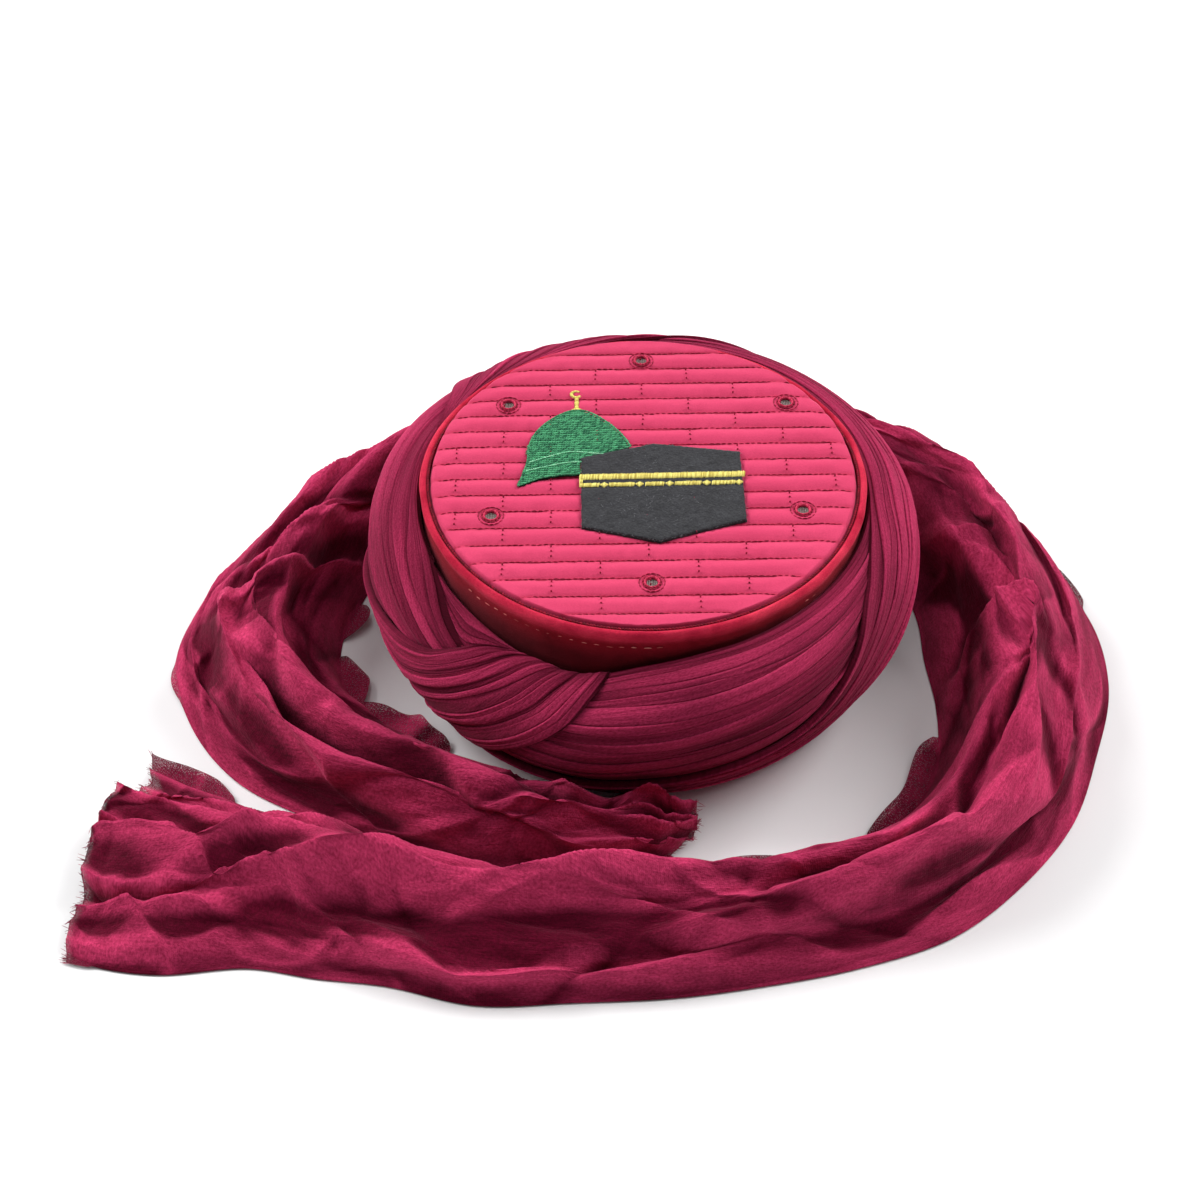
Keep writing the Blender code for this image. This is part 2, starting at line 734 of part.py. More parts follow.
def triangles_between(first, second, flip):
    """Two triangles of a cell, split along the diagonal given by flip."""
    a, b = first
    d, c = second
    return [(a, b, d), (b, c, d)] if flip else [(a, b, c), (a, c, d)]


def make_pass(one, finish):
    across_steps = 2 * one.pleats
    length = path_length(one, 0.5, True)
    grid = place_grid(one)
    points, outside, inside = [], [], []
    for i in range(one.steps + 1):
        along = i / one.steps
        width = path_length(one, along, False)
        outer_row, inner_row = [], []
        for j in range(across_steps + 1):
            across = j / across_steps
            place = grid[i][j]
            distances = (
                across * width, (1 - across) * width, along * length, (1 - along) * length,
            )
            outer_row.append(len(points))
            points.append(pleated_point(one, place, distances, 1 - j % 2))
            if j % 2 == 0:
                inner_row.append(len(points))
                points.append(winding_inside(*place))
        outside.append(outer_row)
        inside.append(inner_row)
    faces = []
    for rows in (outside, inside):
        for first, second in zip(rows, rows[1:]):
            for j in range(len(first) - 1):
                cell = (first[j], first[j + 1]), (second[j], second[j + 1])
                long_way = (points[first[j]].xy - points[second[j + 1]].xy).length
                short_way = (points[first[j + 1]].xy - points[second[j]].xy).length
                faces += triangles_between(*cell, short_way < long_way)
    for outer_row, inner_row in ((outside[0], inside[0]), (outside[-1], inside[-1])):
        for k in range(one.pleats):
            valley, crest, next_valley = outer_row[2 * k:2 * k + 3]
            faces.append((inner_row[k], valley, crest))
            faces.append((inner_row[k], crest, inner_row[k + 1]))
            faces.append((crest, next_valley, inner_row[k + 1]))
    for column in (0, -1):
        outer_line = [row[column] for row in outside]
        inner_line = [row[column] for row in inside]
        for i in range(one.steps):
            faces.append((outer_line[i], outer_line[i + 1], inner_line[i]))
            faces.append((outer_line[i + 1], inner_line[i + 1], inner_line[i]))
    return add_object(one.name, mesh_from_faces(one.name, points, faces), finish)


# Tails

def tail_height(share_along, across, height, width, wander):
    """Height of the cloth's underside: a low mound with long folds that drift across it."""
    lean = math.log(0.5) / math.log(TAIL_CREST)
    mound = height * math.sin(math.pi * across ** lean) ** 0.9 if 0 < across < 1 else 0.0
    drift = wander + 1.6 * share_along + 0.30 * math.sin(7 * share_along + wander)
    fold = math.cos(2 * math.pi * (TAIL_RIDGES * across + drift))
    ridge = TAIL_RIDGE * min(1.0, width / TAIL_WIDTH) ** 2
    return max(0.0, mound + ridge * fold * math.sin(math.pi * across))


def make_tail(name, rows, wander, finish):
    """Lay a folded sheet along the rows, clear of the winding, and give it its thickness."""
    shares = TAIL_STEPS_PER_ROW * (len(rows) - 1)
    grid = []
    for i in range(shares + 1):
        outer_angle, outer, inner_angle, inner, height = spline(rows, i / TAIL_STEPS_PER_ROW)
        edges = (polar(outer_angle, outer * TAIL_REACH, 0), polar(inner_angle, inner * TAIL_REACH, 0))
        width = (edges[0] - edges[1]).length
        line = []
        for j in range(TAIL_ACROSS + 1):
            across = j / TAIL_ACROSS
            low = tail_height(i / shares, across, height * TAIL_HEIGHT, width, wander)
            angle = outer_angle + (inner_angle - outer_angle) * across
            reach = (outer + (inner - outer) * across) * TAIL_REACH
            clear_reach = winding_reach(angle, low) + TAIL_CLEARANCE + TAIL_CLOTH
            line.append(polar(angle, max(reach, clear_reach), low))
        grid.append(line)
    points, over, under = [], [], []
    for i, line in enumerate(grid):
        over_row, under_row = [], []
        for j, low in enumerate(line):
            lengthwise = grid[min(i + 1, shares)][j] - grid[max(i - 1, 0)][j]
            crosswise = line[min(j + 1, TAIL_ACROSS)] - line[max(j - 1, 0)]
            up = lengthwise.cross(crosswise).normalized()
            up *= math.copysign(TAIL_CLOTH, up.z)
            under_row.append(len(points))
            points.append(low)
            over_row.append(len(points))
            points.append(low + up)
        over.append(over_row)
        under.append(under_row)
    faces = []
    for layer in (over, under):
        for first, second in zip(layer, layer[1:]):
            for j in range(TAIL_ACROSS):
                faces += triangles_between((first[j], first[j + 1]), (second[j], second[j + 1]), False)
    for column in (0, -1):
        for i in range(shares):
            faces.append((over[i][column], over[i + 1][column], under[i][column]))
            faces.append((over[i + 1][column], under[i + 1][column], under[i][column]))
    for row in (0, -1):
        for j in range(TAIL_ACROSS):
            faces.append((over[row][j], over[row][j + 1], under[row][j]))
            faces.append((over[row][j + 1], under[row][j + 1], under[row][j]))
    return add_object(name, mesh_from_faces(name, points, faces), finish)


def centre_on_footprint(things):
    """Move everything so that the origin is at the middle of the floor that the part covers."""
    corners = [
        vert.co.xy + thing.location.xy for thing in things for vert in thing.data.vertices
    ]
    middle = [
        (min(corner[axis] for corner in corners) + max(corner[axis] for corner in corners)) / 2
        for axis in (0, 1)
    ]
    for thing in things:
        thing.location.x -= middle[0]
        thing.location.y -= middle[1]


def build():
    clear_scene()
    quilted = finish_of("quilted_cotton", (0.87, 0.085, 0.19), 0.85, 0.3)
    velvet = finish_of("velvet", (0.40, 0.010, 0.020), 0.9, 0.8)
    muslin = finish_of("muslin", (0.30, 0.015, 0.075), 0.92, 0.3)
    stitched = finish_of("eyelet_thread", (0.55, 0.02, 0.06), 0.7)
    felt = finish_of("black_felt", (0.045, 0.045, 0.052), 0.95, 0.3)
    green = finish_of("green_thread", (0.06, 0.36, 0.17), 0.6)
    gold = finish_of("gold_thread", (0.86, 0.74, 0.16), 0.5)
    things = [make_crown_panel(quilted), make_side_band(velvet)]
    things += [make_pass(one, muslin) for one in PASSES]
    things.append(make_tail("tail_left", TAIL_LEFT, 0.2, muslin))
    things.append(make_tail("tail_right", TAIL_RIGHT, 0.9, muslin))
    things += make_eyelets(stitched)
    things.append(make_cube_patch(felt))
    things += make_gold_thread(gold)
    things += [make_dome_patch(green), make_finial(gold)]
    centre_on_footprint(things)


build()
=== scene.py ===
"""Looks of the turban cap: pleated and loose muslin, velvet, quilting and embroidery.

Metres, +Z up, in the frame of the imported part. Shapes are worked out round the cap's axis and
then moved to it. The side that faces -Y is the front.
"""

import json
import math
from collections import namedtuple

import bpy
import numpy as np
from mathutils import Vector
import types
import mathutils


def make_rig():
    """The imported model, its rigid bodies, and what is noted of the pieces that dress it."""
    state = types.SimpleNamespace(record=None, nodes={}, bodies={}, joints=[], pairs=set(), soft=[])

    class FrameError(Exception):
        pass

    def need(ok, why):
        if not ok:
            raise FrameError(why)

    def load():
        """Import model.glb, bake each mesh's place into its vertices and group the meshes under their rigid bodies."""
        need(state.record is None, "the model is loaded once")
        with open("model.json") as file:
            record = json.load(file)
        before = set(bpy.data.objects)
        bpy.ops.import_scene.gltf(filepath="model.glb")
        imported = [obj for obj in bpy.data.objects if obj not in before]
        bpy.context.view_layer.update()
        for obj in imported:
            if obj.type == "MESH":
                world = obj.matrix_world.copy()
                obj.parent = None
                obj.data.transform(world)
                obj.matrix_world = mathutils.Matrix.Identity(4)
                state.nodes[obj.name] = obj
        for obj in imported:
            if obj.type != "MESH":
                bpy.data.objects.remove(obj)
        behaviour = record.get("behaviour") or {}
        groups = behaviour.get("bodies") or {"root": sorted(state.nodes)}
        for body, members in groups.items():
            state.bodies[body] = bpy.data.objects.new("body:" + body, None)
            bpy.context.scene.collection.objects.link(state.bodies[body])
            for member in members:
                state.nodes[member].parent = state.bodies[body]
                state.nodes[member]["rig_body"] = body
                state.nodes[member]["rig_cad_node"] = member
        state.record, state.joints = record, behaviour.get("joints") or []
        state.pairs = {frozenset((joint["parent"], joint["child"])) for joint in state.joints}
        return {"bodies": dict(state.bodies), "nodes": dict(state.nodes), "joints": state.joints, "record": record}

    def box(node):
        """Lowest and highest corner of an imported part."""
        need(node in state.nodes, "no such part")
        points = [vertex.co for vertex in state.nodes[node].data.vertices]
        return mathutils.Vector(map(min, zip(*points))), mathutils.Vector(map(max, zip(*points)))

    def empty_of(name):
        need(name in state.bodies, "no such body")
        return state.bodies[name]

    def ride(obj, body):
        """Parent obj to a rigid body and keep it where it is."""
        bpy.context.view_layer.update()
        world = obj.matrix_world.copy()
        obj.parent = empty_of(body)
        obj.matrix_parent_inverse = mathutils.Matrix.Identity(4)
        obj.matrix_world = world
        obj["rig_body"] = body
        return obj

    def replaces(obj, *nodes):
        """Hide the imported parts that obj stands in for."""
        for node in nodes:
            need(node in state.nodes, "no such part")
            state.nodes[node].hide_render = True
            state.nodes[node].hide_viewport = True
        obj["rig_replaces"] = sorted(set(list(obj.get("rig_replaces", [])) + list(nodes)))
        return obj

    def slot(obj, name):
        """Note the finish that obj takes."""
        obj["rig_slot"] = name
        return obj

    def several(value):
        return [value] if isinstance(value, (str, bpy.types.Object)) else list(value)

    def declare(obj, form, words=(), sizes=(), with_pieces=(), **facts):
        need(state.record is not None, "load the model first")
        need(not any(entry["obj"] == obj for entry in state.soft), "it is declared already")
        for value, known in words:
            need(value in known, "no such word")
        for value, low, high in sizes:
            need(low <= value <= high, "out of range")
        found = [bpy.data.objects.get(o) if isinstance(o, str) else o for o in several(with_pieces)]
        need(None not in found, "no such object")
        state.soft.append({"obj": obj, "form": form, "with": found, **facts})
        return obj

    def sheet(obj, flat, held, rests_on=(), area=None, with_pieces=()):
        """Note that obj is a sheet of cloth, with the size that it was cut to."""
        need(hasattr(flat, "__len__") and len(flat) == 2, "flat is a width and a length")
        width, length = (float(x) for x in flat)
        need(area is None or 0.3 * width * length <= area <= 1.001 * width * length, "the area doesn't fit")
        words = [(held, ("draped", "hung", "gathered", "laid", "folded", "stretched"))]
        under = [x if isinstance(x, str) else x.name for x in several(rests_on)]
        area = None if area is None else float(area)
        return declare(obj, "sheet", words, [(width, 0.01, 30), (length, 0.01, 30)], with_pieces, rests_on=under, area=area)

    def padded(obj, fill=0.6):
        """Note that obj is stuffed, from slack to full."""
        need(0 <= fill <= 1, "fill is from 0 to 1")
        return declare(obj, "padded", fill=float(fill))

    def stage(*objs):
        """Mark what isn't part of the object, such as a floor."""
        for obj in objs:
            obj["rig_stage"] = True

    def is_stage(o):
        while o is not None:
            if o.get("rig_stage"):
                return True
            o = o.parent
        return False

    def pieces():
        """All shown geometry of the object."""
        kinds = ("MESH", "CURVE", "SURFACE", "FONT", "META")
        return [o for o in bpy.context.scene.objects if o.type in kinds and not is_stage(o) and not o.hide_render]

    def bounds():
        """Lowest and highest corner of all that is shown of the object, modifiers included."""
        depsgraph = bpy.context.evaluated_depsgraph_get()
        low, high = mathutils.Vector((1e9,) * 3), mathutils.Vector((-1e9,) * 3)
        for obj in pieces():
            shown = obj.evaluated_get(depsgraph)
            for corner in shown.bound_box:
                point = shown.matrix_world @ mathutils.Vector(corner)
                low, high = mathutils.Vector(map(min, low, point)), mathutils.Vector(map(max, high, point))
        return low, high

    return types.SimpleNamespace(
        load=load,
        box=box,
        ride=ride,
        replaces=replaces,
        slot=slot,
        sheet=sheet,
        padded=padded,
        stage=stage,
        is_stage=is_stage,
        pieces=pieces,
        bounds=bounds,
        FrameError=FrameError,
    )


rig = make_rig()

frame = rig.load()
cad_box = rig.bounds()

# Cap, from the frame
CROWN_LOW, CROWN_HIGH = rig.box("crown_panel")
AXIS = np.array(((CROWN_LOW.x + CROWN_HIGH.x) / 2, (CROWN_LOW.y + CROWN_HIGH.y) / 2, 0.0))
CAP_HEIGHT = CROWN_HIGH.z
CROWN_RADIUS = (CROWN_HIGH.x - CROWN_LOW.x) / 2
BAND_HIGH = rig.box("side_band")[1]
WALL_RADIUS = CROWN_RADIUS + 0.0015
WALL_THICKNESS = 0.004

# Winding, as in the part
WINDING_RADIUS = WALL_RADIUS + 0.0009
WINDING_BULGE = 0.0262
PLEAT_DEPTH = 0.0018
PLEAT_FINE = 0.00028
PLEAT_SOFT = 0.0006
EDGE_ROLL = 0.0016
EDGE_ROLL_REACH = 0.009
RELIEF_FADE = 0.006
THIN_RELIEF = 0.4
WALL_TOUCH = 0.0003
SURFACE_GAP = 0.0003
SLOPE_STEP = 0.004
PLEAT_KNOTS = 0.07
PLEAT_STRAY = 0.42
PLEAT_LEVEL, PLEAT_SWELL = 0.62, 0.38

Girth = namedtuple("Girth", "height_share bulge_share")
WINDING_SECTION = (
    Girth(1.000, 0.06), Girth(0.995, 0.24), Girth(0.950, 0.58), Girth(0.830, 0.88),
    Girth(0.660, 1.00), Girth(0.490, 0.97), Girth(0.320, 0.79), Girth(0.160, 0.50),
    Girth(0.040, 0.24), Girth(0.000, 0.06),
)

Brow = namedtuple("Brow", "angle height_share")
WINDING_TOP = (
    Brow(-180, 0.920), Brow(-150, 0.925), Brow(-100, 0.920), Brow(-70, 0.874), Brow(-45, 0.800),
    Brow(-30, 0.753), Brow(-15, 0.737), Brow(0, 0.821), Brow(15, 0.874), Brow(45, 0.905),
    Brow(90, 0.925), Brow(150, 0.925), Brow(180, 0.920),
)

# Lines where one pass goes over another: degrees round the axis, and 0 at the velvet to 1 at
# the base
Place = namedtuple("Place", "angle drop")
SEAMS = {
    "front_fold": (
        Place(-9, 0.00), Place(-9.8, 0.10), Place(-12.2, 0.20), Place(-15.5, 0.31),
        Place(-20.5, 0.41), Place(-27, 0.52), Place(-36, 0.66), Place(-47, 0.82), Place(-60, 1.00),
    ),
    "left_fold": (
        Place(-24, 0.00), Place(-32, 0.06), Place(-39, 0.14), Place(-44, 0.24), Place(-50, 0.33),
        Place(-57, 0.38), Place(-66, 0.42), Place(-82, 0.49), Place(-100, 0.57), Place(-120, 0.62),
        Place(-140, 0.63), Place(-157, 0.60),
    ),
    "left_inner": (
        Place(-70, 0.00), Place(-60, 0.10), Place(-52, 0.18), Place(-44, 0.24),
    ),
    "right_fold": (
        Place(85, 0.00), Place(71, 0.10), Place(63, 0.17), Place(55, 0.25), Place(50, 0.32),
        Place(44, 0.41), Place(34, 0.53), Place(22, 0.60), Place(6, 0.65), Place(-14, 0.68),
        Place(-36, 0.66),
    ),
    "back_left": (
        Place(-110, 0.00), Place(-125, 0.15), Place(-140, 0.36), Place(-157, 0.60),
        Place(-172, 0.77), Place(-188, 0.90), Place(-202, 1.00),
    ),
    "back_right": (
        Place(-158, 0.00), Place(-175, 0.10), Place(-195, 0.22), Place(-215, 0.40),
        Place(-232, 0.60), Place(-248, 0.80), Place(-262, 1.00),
    ),
}

Stretch = namedtuple("Stretch", "seam first last until")

# Roll says which of the upper, lower, start and end sides lies on top of its neighbour (1),
# dives under it (-1) or is tucked in against the cap or the surface (0). Then come the pleats'
# number, how far they stray from even ones, the side that their folds face, and the seed.
Pass = namedtuple("Pass", "name facing steps evening upper lower start end roll pleats stray lean seed")
PASSES = (
    Pass(
        "wrap_left", -100, 15, 4,
        (Stretch("velvet", -110, -70, 0.55), Stretch("left_inner", 0, 3, 1)),
        (Stretch("left_fold", 11, 6, 1),),
        (Stretch("back_left", 0, 3, 1),),
        (Stretch("left_fold", 3, 6, 1),),
        (0, -1, -1, -1), 10, 0.6, 1, 11,
    ),
    Pass(
        "wrap_inner_left", -50, 10, 0,
        (Stretch("velvet", -66, -28, 1),),
        (Stretch("left_inner", 0.35, 3, 0.55), Stretch("left_fold", 3, 0.45, 1)),
        None,
        None,
        (0, -1, -1, -1), 5, 0.5, 1, 12,
    ),
    Pass(
        "wrap_front_left", -100, 40, 0,
        (Stretch("left_fold", 11, 1.6, 1),),
        (Stretch("base", -202, -60, 0.62), Stretch("front_fold", 8, 0, 1)),
        (Stretch("back_left", 3, 6, 1),),
        (Stretch("left_fold", 1.6, 0, 0.5), Stretch("velvet", -24, -9, 1)),
        (1, 1, -1, 0), 17, 0.6, -1, 13,
    ),
    Pass(
        "wrap_front_right", 25, 16, 0,
        (Stretch("velvet", -9, 85, 1),),
        (Stretch("right_fold", 10, 6, 1),),
        (Stretch("front_fold", 0, 6, 1),),
        (Stretch("right_fold", 0, 6, 1),),
        (0, -1, -1, -1), 15, 0.65, -1, 14,
    ),
    Pass(
        "wrap_right", 80, 28, 0,
        (Stretch("velvet", 202, 85, 0.45), Stretch("right_fold", 0, 10, 1)),
        (
            Stretch("base", 98, 88, 0.45), Stretch("base", 88, 42, 0.75),
            Stretch("base", 42, -60, 1),
        ),
        (Stretch("back_right", 0, 6, 1),),
        (Stretch("front_fold", 6, 8, 1),),
        (1, 0, -1, -1), 15, 0.6, -1, 15,
    ),
    Pass(
        "wrap_back", -186, 22, 0,
        (Stretch("back_right", 0, 6, 1),),
        (Stretch("back_left", 0, 6, 1),),
        (Stretch("velvet", -158, -110, 1),),
        (Stretch("base", -262, -202, 1),),
        (1, 1, 0, 0), 12, 0.6, -1, 16,
    ),
)

# One fold of a pass in section: share of its width, and share of its height over the valley
Fold = namedtuple("Fold", "across height")
FOLD_SECTION = (
    Fold(0.000, 0.00), Fold(0.020, 0.42), Fold(0.055, 0.64), Fold(0.130, 0.76),
    Fold(0.260, 0.83), Fold(0.420, 0.89), Fold(0.580, 0.93), Fold(0.730, 0.97),
    Fold(0.860, 1.00), Fold(0.950, 0.97), Fold(1.010, 0.84), Fold(1.034, 0.54),
    Fold(1.024, 0.20),
)

# How the cloth goes on past a side of a pass: metres outward and metres of lift
Border = namedtuple("Border", "outward lift")
BORDERS = {
    1: (
        Border(0.0005, -0.00015), Border(0.0009, -0.0006), Border(0.0010, -0.0012),
        Border(0.0006, -0.0019), Border(0.0, -0.0026),
    ),
    -1: (
        Border(0.0015, -0.0004), Border(0.0035, -0.0010), Border(0.006, -0.0018),
        Border(0.009, -0.0026),
    ),
    0: (Border(0.0008, 0.0), Border(0.0018, 0.0), Border(0.003, 0.0), Border(0.0045, 0.0)),
}

# Steps over a pass's coarse grid, and the metres from row to row of its fine one
PASS_ACROSS = 16
PASS_STEP = 0.0016

# Tails, as in the part: from the back of the winding to the free end
TAIL_REACH = 0.30
TAIL_HEIGHT = 0.046
TAIL_CLOTH = 0.0024
TAIL_RIDGE = 0.0055
TAIL_RIDGES = 3.5
TAIL_WIDTH = 0.055
TAIL_CREST = 0.56
TAIL_CLEARANCE = 0.0022
# Where the winding's face is looked up beside a tail: the lower share of it, in steps
LOWER_SHARE = 0.6
FACE_STEPS = 24
FOLD_LEAN = 0.8
VALLEY_LEAN = 0.1
PLACED_SHARPNESS = 1.2
CHANCE_SHARPNESS = 1.1
VALLEY_SHARPNESS = 2.0
HOLLOW_REACH = 0.006
FOLD_MARGIN = 2.2
FOLD_LOWEST, FOLD_HIGHEST = -0.020, 0.024
SPREAD_FIRST, SPREAD_LAST = 0.84, 0.97
FAN_HEIGHT = 0.0048
FAN_PLEATS = 7.5
TAIL_STEP = 0.0012
TAIL_COLUMNS = 118
TAIL_FLOOR = 0.0016
TAIL_SINK = 0.002
END_START = 0.93
END_RAGGED = 0.0022
SHEER_END = 0.982
# Painted shade and light over a tail: the share of lit colour where the cloth is level with its surroundings, and the
# height that moves it a whole share
PAINTED_LIGHT_MIDDLE = 0.55
PAINTED_LIGHT_RISE = 0.0042
FRINGE_THREADS = 260
FRINGE_LENGTHS = (0.0008, 0.0028)
FRINGE_STRAY = 0.35
FRINGE_LOWEST = 0.0004
FRINGE_RADIUS = 0.00012
Lay = namedtuple("Lay", "outer_angle outer_reach inner_angle inner_reach height")
TAIL_LEFT = (
    Lay(-164, 0.440, -175, 0.340, 0.16), Lay(-151, 0.500, -160, 0.372, 0.50),
    Lay(-137, 0.520, -141, 0.390, 0.85), Lay(-122, 0.553, -125, 0.403, 0.85),
    Lay(-108, 0.607, -110, 0.420, 0.83), Lay(-95, 0.673, -96, 0.440, 0.78),
    Lay(-84, 0.707, -84, 0.463, 0.74), Lay(-73, 0.697, -73, 0.467, 0.70),
    Lay(-62, 0.667, -62, 0.440, 0.65), Lay(-52, 0.617, -51, 0.413, 0.63),
    Lay(-42, 0.577, -40, 0.390, 0.61), Lay(-31, 0.550, -28, 0.373, 0.61),
    Lay(-20, 0.522, -17, 0.363, 0.57), Lay(-10, 0.503, -6, 0.365, 0.42),
    Lay(0, 0.483, 3, 0.360, 0.39), Lay(8, 0.467, 12, 0.367, 0.24),
)
TAIL_RIGHT = (
    Lay(163, 0.440, 174, 0.340, 0.16), Lay(149, 0.510, 158, 0.372, 0.54),
    Lay(134, 0.543, 138, 0.393, 0.96), Lay(118, 0.587, 120, 0.407, 1.00),
    Lay(104, 0.633, 104, 0.420, 1.00), Lay(92, 0.687, 92, 0.430, 1.00),
    Lay(80, 0.710, 80, 0.440, 0.98), Lay(68, 0.713, 69, 0.473, 0.91),
    Lay(57, 0.727, 58, 0.510, 0.83), Lay(46, 0.730, 46, 0.540, 0.74),
    Lay(35, 0.730, 34, 0.533, 0.67), Lay(24, 0.710, 22, 0.517, 0.65),
    Lay(13, 0.697, 11, 0.513, 0.65), Lay(2, 0.700, 0, 0.520, 0.65),
    Lay(-8, 0.713, -11, 0.530, 0.63), Lay(-18, 0.747, -22, 0.553, 0.61),
    Lay(-27, 0.763, -32, 0.583, 0.59), Lay(-34, 0.803, -41, 0.607, 0.57),
    Lay(-40, 0.847, -49, 0.633, 0.52), Lay(-45, 0.933, -57, 0.680, 0.48),
    Lay(-49, 0.987, -63, 0.733, 0.39), Lay(-51.4, 1.010, -67.4, 0.773, 0.30),
)

# Photograph's camera, from the cap's axis on the surface
CAMERA_PLACE = (-0.01882, -0.81944, 0.82859)
CAMERA_TILT = math.radians(45.314)
CAMERA_LENS = 75.64
SENSOR_WIDTH = 36


# Numbers along tables, and smooth chance

def smooth_between(rows, position):
    """Catmull-Rom values between the rows of a table; position counts the rows from 0."""
    rows = np.asarray(rows, float)
    position = np.asarray(position, float)
    last = len(rows) - 1
    index = np.clip(np.floor(position).astype(int), 0, last - 1)
    f = (position - index).reshape(position.shape + (1,) * (rows.ndim - 1))
    before, here, there, after = (rows[np.clip(index + step, 0, last)] for step in (-1, 0, 1, 2))
    return cubic(before, here, there, after, f)


def cubic(before, here, there, after, f):
    """The smooth curve between the middle two of four values."""
    return 0.5 * (
        2 * here + (there - before) * f + (2 * before - 5 * here + 4 * there - after) * f ** 2
        + (3 * here - before - 3 * there + after) * f ** 3
    )


def chance_line(share, seed, knots):
    """A smooth line of chance between -1 and 1."""
    table = np.random.default_rng(seed).uniform(-1, 1, (knots + 1, 1))
    return smooth_between(table, np.clip(share, 0, 1) * knots)[..., 0]


def chance_field(u, v, seed, cells):
    """A smooth field of chance between -1 and 1 over shares u and v."""
    table = np.random.default_rng(seed).uniform(-1, 1, (cells[0] + 2, cells[1] + 2))
    x = np.clip(u, 0, 1) * cells[0]
    y = np.clip(v, 0, 1) * cells[1]
    i, j = np.floor(x).astype(int), np.floor(y).astype(int)
    fx, fy = x - i, y - j
    fx, fy = fx * fx * (3 - 2 * fx), fy * fy * (3 - 2 * fy)
    low = table[i, j] * (1 - fy) + table[i, j + 1] * fy
    high = table[i + 1, j] * (1 - fy) + table[i + 1, j + 1] * fy
    return low * (1 - fx) + high * fx


def ease(value, low, high):
    """0 up to low, 1 from high on, and a smooth rise between."""
    f = np.clip((value - low) / (high - low), 0, 1)
    return f * f * (3 - 2 * f)


def unit(ways, least=1e-9):
    """Directions of length 1."""
    return ways / (np.linalg.norm(ways, axis=-1, keepdims=True) + least)


def polar(angle, radius, height):
    """Places round the cap's axis: degrees to the right of the front, radius and height."""
    turn = np.radians(angle)
    return np.stack((radius * np.sin(turn), -radius * np.cos(turn), height + 0 * turn), -1)


# Meshes and finishes

def mesh_object(name, points, faces, finish, uv=None, marks=None, smooth=True):
    """An object from points round the cap's axis, with flat cloth coordinates and marks."""
    data = bpy.data.meshes.new(name)
    points = np.asarray(points, float).reshape(-1, 3) + AXIS
    faces = np.asarray(faces)
    data.vertices.add(len(points))
    data.vertices.foreach_set("co", points.ravel())
    sides = faces.shape[1]
    data.loops.add(faces.size)
    data.loops.foreach_set("vertex_index", faces.ravel().astype(np.int32))
    data.polygons.add(len(faces))
    data.polygons.foreach_set("loop_start", np.arange(0, faces.size, sides, dtype=np.int32))
    data.update(calc_edges=True)
    data.validate()
    if uv is not None:
        layer = data.uv_layers.new(name="flat")
        corners = np.zeros(len(data.loops), np.int32)
        data.loops.foreach_get("vertex_index", corners)
        layer.data.foreach_set("uv", np.asarray(uv, float).reshape(-1, 2)[corners].ravel())
    for mark, values in (marks or {}).items():
        attribute = data.attributes.new(mark, "FLOAT", "POINT")
        attribute.data.foreach_set("value", np.asarray(values, np.float32).ravel())
    if smooth:
        data.shade_smooth()
    data.materials.append(finish)
    thing = bpy.data.objects.new(name, data)
    bpy.context.scene.collection.objects.link(thing)
    return thing


def grid_faces(rows, columns, closed_columns=False, closed_rows=False):
    """Quads over a grid of points, row by row."""
    index = np.arange(rows * columns).reshape(rows, columns)
    if closed_columns:
        index = np.concatenate((index, index[:, :1]), 1)
    if closed_rows:
        index = np.concatenate((index, index[:1]), 0)
    quads = np.stack((index[:-1, :-1], index[:-1, 1:], index[1:, 1:], index[1:, :-1]), -1)
    return quads.reshape(-1, 4)


